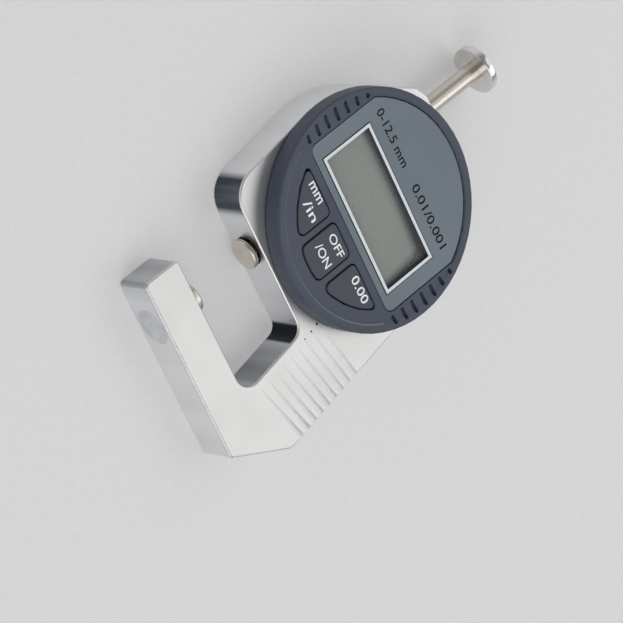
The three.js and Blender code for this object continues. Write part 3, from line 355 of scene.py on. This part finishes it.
def choose(piece, kind, test):
    """In edit mode, selects only the faces or edges that pass a test."""
    bpy.ops.object.mode_set(mode="EDIT")
    bpy.ops.mesh.select_mode(type=kind)
    bpy.ops.mesh.select_all(action="DESELECT")
    mesh = bmesh.from_edit_mesh(piece.data)
    for item in mesh.faces if kind == "FACE" else mesh.edges:
        if test(item):
            item.select_set(True)
    mesh.select_flush_mode()
    bmesh.update_edit_mesh(piece.data)


def end_cap(height):
    """Passes the flat face square to the spindle at a height in millimetres."""
    return lambda face: (abs(face.normal.y) > SQUARE_ON
                         and abs(face.calc_center_median().y - height * MM) < NEAR * MM)


def ring_at(height):
    """Passes the edges of a rim at a height in millimetres."""
    return lambda edge: all(abs(v.co.y - height * MM) < NEAR * MM for v in edge.verts)


anvil_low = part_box("anvil")[0].y / MM
anvil = cylinder("anvil_button", ANVIL_R, -ANVIL_HEAD, 0)
choose(anvil, "EDGE", ring_at(0))
bpy.ops.mesh.bevel(offset=ANVIL_CHAMFER * MM, segments=2)
choose(anvil, "FACE", end_cap(-ANVIL_HEAD))
bpy.ops.mesh.inset(thickness=(ANVIL_R - ANVIL_STEM_R) * MM)
bpy.ops.mesh.extrude_region_move(
    TRANSFORM_OT_translate={"value": (0, (anvil_low + ANVIL_HEAD) * MM, 0)})
bpy.ops.object.mode_set(mode="OBJECT")

# Lapped hard steel: the scratches that give it its sheen are drawn coarser than they are.
lapped_steel, tree, place = new_finish("lapped_hard_steel")
scratch = add(tree, "ShaderNodeTexNoise", {"Vector": place, "Scale": per(0.25), "Detail": 4.0})
stain = add(tree, "ShaderNodeTexNoise", {"Vector": place, "Scale": per(2.5), "Detail": 2.0})
tone = add(tree, "ShaderNodeValToRGB", {"Fac": stain.outputs[0]},
           [(0.3, "#d3cec2"), (0.7, "#dfd9cd")])
gloss = add(tree, "ShaderNodeMapRange", {
    "Value": scratch.outputs[0], "To Min": 0.24, "To Max": 0.36})
bump = add(tree, "ShaderNodeBump", {
    "Height": scratch.outputs[0], "Strength": 0.1, "Distance": 0.01 * MM})
shader = add(tree, "ShaderNodeBsdfPrincipled", {
    "Base Color": tone.outputs["Color"], "Metallic": 1.0, "Roughness": gloss.outputs["Result"],
    "Normal": bump.outputs["Normal"]})
add(tree, "ShaderNodeOutputMaterial", {"Surface": shader.outputs["BSDF"]})
complete(anvil, "frame", "carbide", lapped_steel, "anvil")

# Anvil plug: the round zinc plug that closes the anvil's hole on the arm's underside. It fills
# the hole, and lies a touch hollow and a shade greyer where it was dressed back.
PLUG_R = 3.97
PLUG_HOLLOW = 0.12
PLUG_RINGS = 4
PLUG_RING_WIDTH = PLUG_R / 6

# Chrome on dressed zinc: greyer and duller than the wall round it.
dressed_zinc, tree, place = new_finish("chrome_on_dressed_zinc")
rub = add(tree, "ShaderNodeTexNoise", {"Vector": place, "Scale": per(2.5), "Detail": 2.0})
tone = add(tree, "ShaderNodeValToRGB", {"Fac": rub.outputs[0]},
           [(0.35, "#d3d5da"), (0.65, "#e0e2e6")])
bump = add(tree, "ShaderNodeBump", {
    "Height": rub.outputs[0], "Strength": 0.1, "Distance": 0.02 * MM})
shader = add(tree, "ShaderNodeBsdfPrincipled", {
    "Base Color": tone.outputs["Color"], "Metallic": 1.0, "Roughness": 0.4,
    "Normal": bump.outputs["Normal"]})
add(tree, "ShaderNodeOutputMaterial", {"Surface": shader.outputs["BSDF"]})
plug_low, plug_high = (corner.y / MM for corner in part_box("anvil_plug"))
plug = cylinder("plug", PLUG_R, plug_low, plug_high)
choose(plug, "FACE", end_cap(plug_low))
for ring in range(PLUG_RINGS):
    bpy.ops.mesh.inset(thickness=PLUG_RING_WIDTH * MM)
    bpy.ops.transform.translate(value=(0, PLUG_HOLLOW / PLUG_RINGS * MM, 0))
bpy.ops.object.mode_set(mode="OBJECT")
complete(plug, "frame", "satin_chrome", dressed_zinc, "anvil_plug")

# Bushes: turned bearing bronze, reamed to the spindle and pressed into the head, one at its
# foot and one in the boss on top. Their colour is painted dark as the shade behind the contact.
BUSH_ROUND = 0.08

# Bronze painted dark brown as shade, banded by turning marks that are drawn coarser than they are.
bronze, tree, place = new_finish("bronze_painted_dark_as_shade")
tool_mark = add(tree, "ShaderNodeTexWave", {"Vector": place, "Scale": per(0.8), "Distortion": 0.4},
                bands_direction="Y")
tone = add(tree, "ShaderNodeValToRGB", {"Fac": tool_mark.outputs[0]},
           [(0, "#3b2e20"), (1, "#4a3a28")])
shader = add(tree, "ShaderNodeBsdfPrincipled", {
    "Base Color": tone.outputs["Color"], "Metallic": 1.0, "Roughness": 0.45})
add(tree, "ShaderNodeOutputMaterial", {"Surface": shader.outputs["BSDF"]})
dressed("upper_bush", "bush_in_boss", "frame", "bronze", bronze, BUSH_ROUND)
dressed("lower_bush", "bush_in_foot", "frame", "bronze", bronze, BUSH_ROUND)

# Spindle rod: centreless-ground silver steel, bright and faintly warm, with fine rings left
# by the wheel. Its ends are chamfered, and the lower one shows its bore for the contact.
ROD_R = 2
ROD_CHAMFER = 0.25
BORE_INSET = 0.45
BORE_DEPTH = 3.3
FINE_SIDES = 128
rod_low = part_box("spindle_rod")[0].y / MM
rod_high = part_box("spindle_rod")[1].y / MM
rod = cylinder("rod", ROD_R, rod_low, rod_high, FINE_SIDES)
choose(rod, "EDGE", lambda edge: ring_at(rod_low)(edge) or ring_at(rod_high)(edge))
bpy.ops.mesh.bevel(offset=ROD_CHAMFER * MM, segments=2)
choose(rod, "FACE", end_cap(rod_low))
bpy.ops.mesh.inset(thickness=BORE_INSET * MM)
bpy.ops.mesh.extrude_region_move(TRANSFORM_OT_translate={"value": (0, BORE_DEPTH * MM, 0)})
bpy.ops.object.mode_set(mode="OBJECT")

# Ground silver steel: the rings that soften its shine are drawn coarser than they are.
RING_STRETCH = 0.15
ground_steel, tree, place = new_finish("ground_silver_steel")
stretch = add(tree, "ShaderNodeMapping", {
    "Vector": place, "Scale": (RING_STRETCH, 1, RING_STRETCH)})
wheel = add(tree, "ShaderNodeTexNoise", {
    "Vector": stretch.outputs[0], "Scale": per(0.22), "Detail": 2.0})
tone = add(tree, "ShaderNodeValToRGB", {"Fac": wheel.outputs[0]},
           [(0.3, "#d3cbc0"), (0.7, "#dcd4ca")])
gloss = add(tree, "ShaderNodeMapRange", {
    "Value": wheel.outputs[0], "To Min": 0.24, "To Max": 0.32})
bump = add(tree, "ShaderNodeBump", {
    "Height": wheel.outputs[0], "Strength": 0.025, "Distance": 0.01 * MM})
shader = add(tree, "ShaderNodeBsdfPrincipled", {
    "Base Color": tone.outputs["Color"], "Metallic": 1.0, "Roughness": gloss.outputs["Result"],
    "Normal": bump.outputs["Normal"]})
add(tree, "ShaderNodeOutputMaterial", {"Surface": shader.outputs["BSDF"]})
complete(rod, "spindle", "polished_steel", ground_steel, "spindle_rod")

# Contact: hard disc screwed into the rod. Its measuring face is lapped like the anvil's, the
# rim has a broad chamfer and a turned groove, and a short neck holds it off the head.
CONTACT_R = 3.4
CONTACT_THICK = 1
CONTACT_CHAMFER = 0.35
CONTACT_BACK_ROUND = 0.15
GROOVE_HEIGHTS = (0.5, 0.65)
GROOVE_DEPTH = 0.2
STUD_R = 1
SIDE_ON = 0.1
contact_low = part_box("contact_disc")[0].y / MM
contact_back = contact_low + CONTACT_THICK
stud_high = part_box("contact_disc")[1].y / MM
contact = cylinder("contact", CONTACT_R, contact_low, contact_back)
bpy.ops.object.mode_set(mode="EDIT")
for height in GROOVE_HEIGHTS:
    bpy.ops.mesh.select_all(action="SELECT")
    bpy.ops.mesh.bisect(plane_co=(0, (contact_low + height) * MM, 0), plane_no=(0, 1, 0))
bpy.ops.object.mode_set(mode="OBJECT")
groove_middle = contact_low + sum(GROOVE_HEIGHTS) / 2
choose(contact, "FACE", lambda face: (
    abs(face.normal.y) < SIDE_ON
    and abs(face.calc_center_median().y - groove_middle * MM) < NEAR * MM))
bpy.ops.mesh.extrude_region_shrink_fatten(TRANSFORM_OT_shrink_fatten={"value": -GROOVE_DEPTH * MM})
choose(contact, "EDGE", ring_at(contact_low))
bpy.ops.mesh.bevel(offset=CONTACT_CHAMFER * MM, segments=2)
choose(contact, "EDGE", ring_at(contact_back))
bpy.ops.mesh.bevel(offset=CONTACT_BACK_ROUND * MM, segments=3)
choose(contact, "FACE", end_cap(contact_back))
bpy.ops.mesh.inset(thickness=(CONTACT_R - CONTACT_BACK_ROUND - STUD_R) * MM)
bpy.ops.mesh.extrude_region_move(
    TRANSFORM_OT_translate={"value": (0, (stud_high - contact_back) * MM, 0)})
bpy.ops.object.mode_set(mode="OBJECT")
complete(contact, "spindle", "carbide", lapped_steel, "contact_disc")

# Lifting cap: turned brass button, nickel plated and buffed, pushed tight on the rod and held
# by a screw. It mirrors the rod in its underside, and its top is recessed round the screw.
CAP_R = 5.35
CAP_ROUND = 0.3
CAP_RIM = 1.0
RECESS_SLOPE = 0.1
RECESS_DEPTH = 0.15
CAP_BORE_GAP = 0.03
CAP_BORE_DEPTH = 1.0
CAP_SCREW_ROUND = 0.08
cap_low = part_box("lift_cap")[0].y / MM
cap_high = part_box("lift_cap")[1].y / MM
cap = cylinder("lifting_cap", CAP_R, cap_low, cap_high, FINE_SIDES)
choose(cap, "EDGE", lambda edge: ring_at(cap_low)(edge) or ring_at(cap_high)(edge))
bpy.ops.mesh.bevel(offset=CAP_ROUND * MM, segments=4)
choose(cap, "FACE", end_cap(cap_high))
bpy.ops.mesh.inset(thickness=CAP_RIM * MM)
bpy.ops.mesh.inset(thickness=RECESS_SLOPE * MM)
bpy.ops.mesh.extrude_region_move(TRANSFORM_OT_translate={"value": (0, -RECESS_DEPTH * MM, 0)})
choose(cap, "FACE", end_cap(cap_low))
bpy.ops.mesh.inset(thickness=(CAP_R - CAP_ROUND - ROD_R - CAP_BORE_GAP) * MM)
bpy.ops.mesh.extrude_region_move(TRANSFORM_OT_translate={"value": (0, CAP_BORE_DEPTH * MM, 0)})
bpy.ops.object.mode_set(mode="OBJECT")

# Buffed nickel: a warm mirror with faint turning rings and a thin haze.
buffed_nickel, tree, place = new_finish("buffed_nickel_plate")
ring = add(tree, "ShaderNodeTexWave", {"Vector": place, "Scale": per(2.2), "Distortion": 0.3},
           wave_type="RINGS", rings_direction="Y")
haze = add(tree, "ShaderNodeTexNoise", {"Vector": place, "Scale": per(2), "Detail": 3.0})
tone = add(tree, "ShaderNodeValToRGB", {"Fac": haze.outputs[0]},
           [(0.3, "#dcdad6"), (0.7, "#e9e7e4")])
gloss = add(tree, "ShaderNodeMapRange", {"Value": haze.outputs[0], "To Min": 0.08, "To Max": 0.18})
bump = add(tree, "ShaderNodeBump", {
    "Height": ring.outputs[0], "Strength": 0.05, "Distance": 0.01 * MM})
shader = add(tree, "ShaderNodeBsdfPrincipled", {
    "Base Color": tone.outputs["Color"], "Metallic": 1.0, "Roughness": gloss.outputs["Result"],
    "Normal": bump.outputs["Normal"]})
add(tree, "ShaderNodeOutputMaterial", {"Surface": shader.outputs["BSDF"]})
complete(cap, "spindle", "nickel", buffed_nickel, "lift_cap")
dressed("cap_screw", "screw_in_cap", "spindle", "nickel", buffed_nickel, CAP_SCREW_ROUND)

# Parts on the spindle inside the head: the moulded carrier with its two clamp screws, its
# etched measuring strip and its guide pin, the blackened rail that the pin runs in, and the
# return spring.

# Glass-filled nylon: near black, with a fine fibre grain.
black_moulding, tree, place = new_finish("glass_filled_nylon")
fibre = add(tree, "ShaderNodeTexNoise", {"Vector": place, "Scale": per(0.4), "Detail": 4.0})
tone = add(tree, "ShaderNodeValToRGB", {"Fac": fibre.outputs[0]},
           [(0.35, "#222327"), (0.65, "#2c2d31")])
bump = add(tree, "ShaderNodeBump", {
    "Height": fibre.outputs[0], "Strength": 0.2, "Distance": 0.02 * MM})
shader = add(tree, "ShaderNodeBsdfPrincipled", {
    "Base Color": tone.outputs["Color"], "Roughness": 0.5, "Normal": bump.outputs["Normal"]})
add(tree, "ShaderNodeOutputMaterial", {"Surface": shader.outputs["BSDF"]})

# Blackened steel: dark oxide, uneven in tone, with a dull metal shine.
black_steel, tree, place = new_finish("blackened_steel")
oxide = add(tree, "ShaderNodeTexNoise", {"Vector": place, "Scale": per(0.5), "Detail": 3.0})
tone = add(tree, "ShaderNodeValToRGB", {"Fac": oxide.outputs[0]},
           [(0.3, "#2f3034"), (0.7, "#45464a")])
shader = add(tree, "ShaderNodeBsdfPrincipled", {
    "Base Color": tone.outputs["Color"], "Metallic": 1.0, "Roughness": 0.38})
add(tree, "ShaderNodeOutputMaterial", {"Surface": shader.outputs["BSDF"]})

# Solder mask: glossy green over the weave of the glass cloth, drawn coarser than it is.
solder_mask, tree, place = new_finish("solder_mask_on_glass_fibre")
weave = add(tree, "ShaderNodeTexBrick", {
    "Vector": place, "Color1": linear("#1c5c3c"), "Color2": linear("#226645"),
    "Mortar": linear("#17492f"), "Scale": per(2.4), "Mortar Size": 0.03})
shader = add(tree, "ShaderNodeBsdfPrincipled", {
    "Base Color": weave.outputs["Color"], "Roughness": 0.3})
add(tree, "ShaderNodeOutputMaterial", {"Surface": shader.outputs["BSDF"]})


def refinish(finish, *nodes):
    """Gives CAD nodes that keep their shape a finish."""
    for node in nodes:
        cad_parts[node].data.materials.clear()
        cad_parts[node].data.materials.append(finish)


refinish(black_moulding, "scale_carrier")
refinish(solder_mask, "scale_strip")
refinish(black_steel, "carrier_screw_1", "carrier_screw_2", "guide_rail")
refinish(ground_steel, "guide_pin", "return_spring")

# Back of the head: a pressed stainless cover, brushed straight across, let in flush with the
# casting and held by four blackened screws.
COVER_ROUND = 0.12
COVER_SCREWS = 4
COVER_SCREW_ROUND = 0.06

# Brushed stainless steel: grey, streaked across by lines that are drawn coarser than they are.
BRUSH_STRETCH = 0.03
brushed_cover, tree, place = new_finish("brushed_stainless_steel")
stretch = add(tree, "ShaderNodeMapping", {"Vector": place, "Scale": (BRUSH_STRETCH, 1, 1)})
line = add(tree, "ShaderNodeTexNoise", {
    "Vector": stretch.outputs[0], "Scale": per(0.25), "Detail": 3.0})
tone = add(tree, "ShaderNodeValToRGB", {"Fac": line.outputs[0]},
           [(0.3, "#b9b9b8"), (0.7, "#cdcdcb")])
gloss = add(tree, "ShaderNodeMapRange", {"Value": line.outputs[0], "To Min": 0.28, "To Max": 0.42})
bump = add(tree, "ShaderNodeBump", {
    "Height": line.outputs[0], "Strength": 0.15, "Distance": 0.01 * MM})
shader = add(tree, "ShaderNodeBsdfPrincipled", {
    "Base Color": tone.outputs["Color"], "Metallic": 1.0, "Roughness": gloss.outputs["Result"],
    "Normal": bump.outputs["Normal"]})
add(tree, "ShaderNodeOutputMaterial", {"Surface": shader.outputs["BSDF"]})
dressed("back_cover", "rear_cover", "frame", "satin_chrome", brushed_cover, COVER_ROUND)
for number in range(1, COVER_SCREWS + 1):
    dressed(f"back_cover_screw_{number}", f"rear_screw_{number}", "frame", "black_steel",
            black_steel, COVER_SCREW_ROUND)

# Cell and its cover: a coin-slotted plastic cover over a standard button cell, which sits in
# a moulded holder between two sprung nickel leaves.

# Spark-textured ABS: dark blue-grey, with a matt skin that breaks up the highlights. The
# texture is drawn coarser than it is.
cover_plastic, tree, place = new_finish("spark_textured_abs")
spark = add(tree, "ShaderNodeTexNoise", {"Vector": place, "Scale": per(0.22), "Detail": 3.0})
cloud = add(tree, "ShaderNodeTexNoise", {"Vector": place, "Scale": per(14), "Detail": 1.0})
tone = add(tree, "ShaderNodeValToRGB", {"Fac": cloud.outputs[0]},
           [(0.3, "#3f4554"), (0.7, "#464c5b")])
gloss = add(tree, "ShaderNodeMapRange", {
    "Value": spark.outputs[0], "To Min": 0.42, "To Max": 0.56})
bump = add(tree, "ShaderNodeBump", {
    "Height": spark.outputs[0], "Strength": 0.2, "Distance": 0.02 * MM})
shader = add(tree, "ShaderNodeBsdfPrincipled", {
    "Base Color": tone.outputs["Color"], "Roughness": gloss.outputs["Result"],
    "Normal": bump.outputs["Normal"]})
add(tree, "ShaderNodeOutputMaterial", {"Surface": shader.outputs["BSDF"]})
dressed("cell_cover", "coin_cover", "cell_cover", "bezel_plastic", cover_plastic, COVER_ROUND)
refinish(buffed_nickel, "button_cell", "lower_cell_contact", "upper_cell_contact")
refinish(black_moulding, "cell_holder", "sensor_chip")

# Sensor board on its ledge, and the ring over it that the display turns on, with its three
# screws. The snap ring keeps the bezel under the ring's rim.
refinish(solder_mask, "sensor_board")
refinish(black_moulding, "head_ring")
refinish(black_steel, "head_ring_screw_1", "head_ring_screw_2", "head_ring_screw_3")
refinish(ground_steel, "snap_ring")

# Front bezel: one ABS moulding with a fine spark texture, grooved at both sides for the
# fingers that turn it, and cut out for the window and the keys. The slope from its rim down
# to the face round the keys has a painted highlight: it is coloured paler, and is smoother.
BEZEL_ROUND = 0.12
DISPLAY_X = 6.6
DISPLAY_Y = 42.1
SLOPE_R = (22.85, 23.5)
SLOPE_TILTS = (0.3, 0.98)
NOTCHES_END_Y = DISPLAY_Y - 9.3

# The same plastic, smoother, with a painted highlight: its colour is paler.
smooth_abs_painted_highlight, tree, place = new_finish("smooth_abs_painted_highlight")
rub = add(tree, "ShaderNodeTexNoise", {"Vector": place, "Scale": per(1.5), "Detail": 3.0})
tone = add(tree, "ShaderNodeValToRGB", {"Fac": rub.outputs[0]},
           [(0.3, "#5f626d"), (0.7, "#6d707b")])
shader = add(tree, "ShaderNodeBsdfPrincipled", {
    "Base Color": tone.outputs["Color"], "Roughness": 0.32})
add(tree, "ShaderNodeOutputMaterial", {"Surface": shader.outputs["BSDF"]})
bezel = dressed("front_bezel", "bezel", "display", "bezel_plastic", cover_plastic, BEZEL_ROUND)
bezel.data.materials.append(smooth_abs_painted_highlight)
for face in bezel.data.polygons:
    off = math.hypot(face.center.x - DISPLAY_X * MM, face.center.y - DISPLAY_Y * MM) / MM
    sloping = SLOPE_TILTS[0] < face.normal.z < SLOPE_TILTS[1] and SLOPE_R[0] < off < SLOPE_R[1]
    # The painted highlight goes on these faces of the slope.
    if sloping and face.center.y < NOTCHES_END_Y * MM:
        face.material_index = 1

# Printed panel: polycarbonate film, printed blue-grey on its back, so the colour is even under
# a fine matt skin. The range and the step are printed on it in black.
PANEL_ROUND = 0.05

# Printed film: even blue-grey under a matt skin, which is drawn coarser than it is.
printed_film, tree, place = new_finish("printed_matt_film")
skin = add(tree, "ShaderNodeTexNoise", {"Vector": place, "Scale": per(0.18), "Detail": 2.0})
cloud = add(tree, "ShaderNodeTexNoise", {"Vector": place, "Scale": per(16), "Detail": 1.0})
tone = add(tree, "ShaderNodeValToRGB", {"Fac": cloud.outputs[0]},
           [(0.3, "#66717a"), (0.7, "#6d7881")])
gloss = add(tree, "ShaderNodeMapRange", {"Value": skin.outputs[0], "To Min": 0.34, "To Max": 0.44})
bump = add(tree, "ShaderNodeBump", {
    "Height": skin.outputs[0], "Strength": 0.08, "Distance": 0.01 * MM})
shader = add(tree, "ShaderNodeBsdfPrincipled", {
    "Base Color": tone.outputs["Color"], "Roughness": gloss.outputs["Result"],
    "Normal": bump.outputs["Normal"]})
add(tree, "ShaderNodeOutputMaterial", {"Surface": shader.outputs["BSDF"]})
dressed("face_panel", "panel", "display", "panel_film", printed_film, PANEL_ROUND)

# Black screen ink: flat, and slightly uneven in tone.
black_ink, tree, place = new_finish("black_screen_ink")
edge = add(tree, "ShaderNodeTexNoise", {"Vector": place, "Scale": per(0.3), "Detail": 2.0})
tone = add(tree, "ShaderNodeValToRGB", {"Fac": edge.outputs[0]},
           [(0.3, "#0d1013"), (0.7, "#15191d")])
shader = add(tree, "ShaderNodeBsdfPrincipled", {
    "Base Color": tone.outputs["Color"], "Roughness": 0.6, "Specular IOR Level": 0.2})
add(tree, "ShaderNodeOutputMaterial", {"Surface": shader.outputs["BSDF"]})

INK_THICK = 0.03
LETTER_WEIGHT = 0.008
PANEL_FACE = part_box("face_panel")[1].z / MM


def printed(name, words, start, finish_x, height, face, body, slot, ink):
    """Lettering in a thin layer of ink, from a lower left corner on the face to a right end."""
    deselect()
    bpy.ops.object.text_add()
    letters = bpy.context.object
    letters.name = name
    letters.data.body = words
    letters.data.offset = LETTER_WEIGHT
    # Half a unit to each side, so that the scale gives the layer its thickness.
    letters.data.extrude = 0.5
    letters.data.resolution_u = 4
    bpy.ops.object.convert(target="MESH")
    corners = [v.co for v in letters.data.vertices]
    low = Vector([min(c[i] for c in corners) for i in range(3)])
    high = Vector([max(c[i] for c in corners) for i in range(3)])
    wide = (finish_x - start[0]) / (high.x - low.x)
    tall = height / (high.y - low.y)
    letters.scale = (wide * MM, tall * MM, INK_THICK * MM)
    letters.location = ((DISPLAY_X + start[0] - low.x * wide) * MM,
                        (DISPLAY_Y + start[1] - low.y * tall) * MM, (face + INK_THICK / 2) * MM)
    bpy.ops.object.transform_apply()
    complete(letters, body, slot, ink)


PRINT_ROW = 9.9
PRINT_HEIGHT = 2.0
PRINTS = [("range_print", "0-12.5 mm", -17.2, -3.6), ("step_print", "0.01/0.001", 1.0, 16.2)]
for name, words, start_x, finish_x in PRINTS:
    printed(name, words, (start_x, PRINT_ROW), finish_x, PRINT_HEIGHT, PANEL_FACE, "display",
            "black_plastic", black_ink)

# Window: a frame round the opening whose face alone is white, and behind it a clear acrylic
# pane over the liquid crystal cell, which is blank and grey-green while the gauge is off.
FRAME_ROUND = 0.05
FRONT_TILT = 0.5
PANE_ROUND = 0.06

# White ABS: a clean cool white, faintly uneven from the mould.
white_moulding, tree, place = new_finish("white_moulded_abs")
skin = add(tree, "ShaderNodeTexNoise", {"Vector": place, "Scale": per(0.5), "Detail": 2.0})
tone = add(tree, "ShaderNodeValToRGB", {"Fac": skin.outputs[0]},
           [(0.3, "#dfe3e5"), (0.7, "#e6e9ea")])
shader = add(tree, "ShaderNodeBsdfPrincipled", {
    "Base Color": tone.outputs["Color"], "Roughness": 0.4})
add(tree, "ShaderNodeOutputMaterial", {"Surface": shader.outputs["BSDF"]})
white_frame = dressed("window_frame", "white_frame", "display", "white_print", white_moulding,
                      FRAME_ROUND)
white_frame.data.materials.append(cover_plastic)
for face in white_frame.data.polygons:
    face.material_index = 0 if face.normal.z > FRONT_TILT else 1

# Clear acrylic: almost unseen, with a trace of dust that dulls its shine.
clear_acrylic, tree, place = new_finish("clear_acrylic")
dust = add(tree, "ShaderNodeTexNoise", {"Vector": place, "Scale": per(3), "Detail": 3.0})
gloss = add(tree, "ShaderNodeMapRange", {"Value": dust.outputs[0], "To Min": 0.03, "To Max": 0.08})
shader = add(tree, "ShaderNodeBsdfPrincipled", {
    "Base Color": linear("#9aa09c"), "Roughness": gloss.outputs["Result"], "IOR": 1.49,
    "Alpha": 0.12})
add(tree, "ShaderNodeOutputMaterial", {"Surface": shader.outputs["BSDF"]})
dressed("window_pane", "pane", "display", "clear_pane", clear_acrylic, PANE_ROUND)

# Blank liquid crystal: grey-green under a fine matt film, which is drawn coarser than it is.
# The frame hides the rim of the cell and shades two of its sides, and that shade is drawn here,
# because lamps as soft as these don't cast it.
HIDDEN_EDGE = 0.9
EDGE_SHADE = 2.7
EDGE_DARK = 0.44
glass_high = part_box("lcd_glass")[1] / MM
crystal_cell, tree, place = new_finish("blank_liquid_crystal")
film = add(tree, "ShaderNodeTexNoise", {"Vector": place, "Scale": per(0.2), "Detail": 2.0})
cloud = add(tree, "ShaderNodeTexNoise", {"Vector": place, "Scale": per(30), "Detail": 0.0})
parts = add(tree, "ShaderNodeSeparateXYZ", {"Vector": place}).outputs
fac = cloud.outputs[0]
for axis, edge in (("X", glass_high.x), ("Y", glass_high.y)):
    shade = add(tree, "ShaderNodeMapRange", {
        "Value": parts[axis], "From Min": (edge - HIDDEN_EDGE - EDGE_SHADE) * MM,
        "From Max": (edge - HIDDEN_EDGE) * MM, "To Min": 0.0, "To Max": EDGE_DARK})
    fac = add(tree, "ShaderNodeMath", {0: fac, 1: shade.outputs["Result"]},
              operation="SUBTRACT").outputs[0]
tone = add(tree, "ShaderNodeValToRGB", {"Fac": fac},
           [(0.0, "#232625"), (0.35, "#8e938c"), (0.6, "#93988f")])
gloss = add(tree, "ShaderNodeMapRange", {"Value": film.outputs[0], "To Min": 0.28, "To Max": 0.36})
shader = add(tree, "ShaderNodeBsdfPrincipled", {
    "Base Color": tone.outputs["Color"], "Roughness": gloss.outputs["Result"]})
add(tree, "ShaderNodeOutputMaterial", {"Surface": shader.outputs["BSDF"]})
refinish(crystal_cell, "lcd_glass")

# Behind the window: the display board on the posts of the bezel, the rubber strips that join
# the cell to it, and the silicone mat with the domes that the keys press.

# Moulded silicone: dull dark grey with a faint bloom.
silicone, tree, place = new_finish("moulded_silicone")
bloom = add(tree, "ShaderNodeTexNoise", {"Vector": place, "Scale": per(0.6), "Detail": 3.0})
tone = add(tree, "ShaderNodeValToRGB", {"Fac": bloom.outputs[0]},
           [(0.3, "#424347"), (0.7, "#4d4e52")])
shader = add(tree, "ShaderNodeBsdfPrincipled", {
    "Base Color": tone.outputs["Color"], "Roughness": 0.75})
add(tree, "ShaderNodeOutputMaterial", {"Surface": shader.outputs["BSDF"]})
refinish(solder_mask, "display_board")
refinish(silicone, "rubber_strip_upper", "rubber_strip_lower", "keypad_mat")

# Keys: three moulded keys with chamfered edges, which stand on the silicone mat. A flange under
# the face keeps each of them in, and each is marked in white.
KEY_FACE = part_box("button_power")[1].z / MM

# Satin key plastic: dark grey, with a skin that dulls the lamps, drawn coarser than it is.
key_plastic, tree, place = new_finish("satin_moulded_key")
skin = add(tree, "ShaderNodeTexNoise", {"Vector": place, "Scale": per(0.25), "Detail": 2.0})
tone = add(tree, "ShaderNodeValToRGB", {"Fac": skin.outputs[0]},
           [(0.3, "#3d4049"), (0.7, "#444751")])
gloss = add(tree, "ShaderNodeMapRange", {"Value": skin.outputs[0], "To Min": 0.4, "To Max": 0.5})
bump = add(tree, "ShaderNodeBump", {
    "Height": skin.outputs[0], "Strength": 0.08, "Distance": 0.01 * MM})
shader = add(tree, "ShaderNodeBsdfPrincipled", {
    "Base Color": tone.outputs["Color"], "Roughness": gloss.outputs["Result"],
    "Normal": bump.outputs["Normal"]})
add(tree, "ShaderNodeOutputMaterial", {"Surface": shader.outputs["BSDF"]})

# White screen ink: clean and opaque.
white_ink, tree, place = new_finish("white_screen_ink")
edge = add(tree, "ShaderNodeTexNoise", {"Vector": place, "Scale": per(0.3), "Detail": 2.0})
tone = add(tree, "ShaderNodeValToRGB", {"Fac": edge.outputs[0]},
           [(0.3, "#f1f5f8"), (0.7, "#f9fbfc")])
shader = add(tree, "ShaderNodeBsdfPrincipled", {
    "Base Color": tone.outputs["Color"], "Roughness": 0.4})
add(tree, "ShaderNodeOutputMaterial", {"Surface": shader.outputs["BSDF"]})

# Each key has its lines of lettering: words, lower left corner, right end and height.
KEYS = [
    ("unit", [("mm", (-14.1, -12.0), -9.2, 1.5), ("/in", (-11.6, -15.2), -6.9, 2.1)]),
    ("power", [("OFF", (-2.3, -13.2), 3.1, 1.9), ("/ON", (-2.4, -17.0), 3.0, 2.0)]),
    ("zero", [("0.00", (8.3, -12.7), 14.5, 2.0)]),
]
for name, lines in KEYS:
    dressed(f"button_{name}", f"{name}_button", f"{name}_key", "button_plastic", key_plastic)
    for number, (words, start, finish_x, height) in enumerate(lines, 1):
        printed(f"{name}_print_{number}", words, start, finish_x, height, KEY_FACE, f"{name}_key",
                "white_print", white_ink)
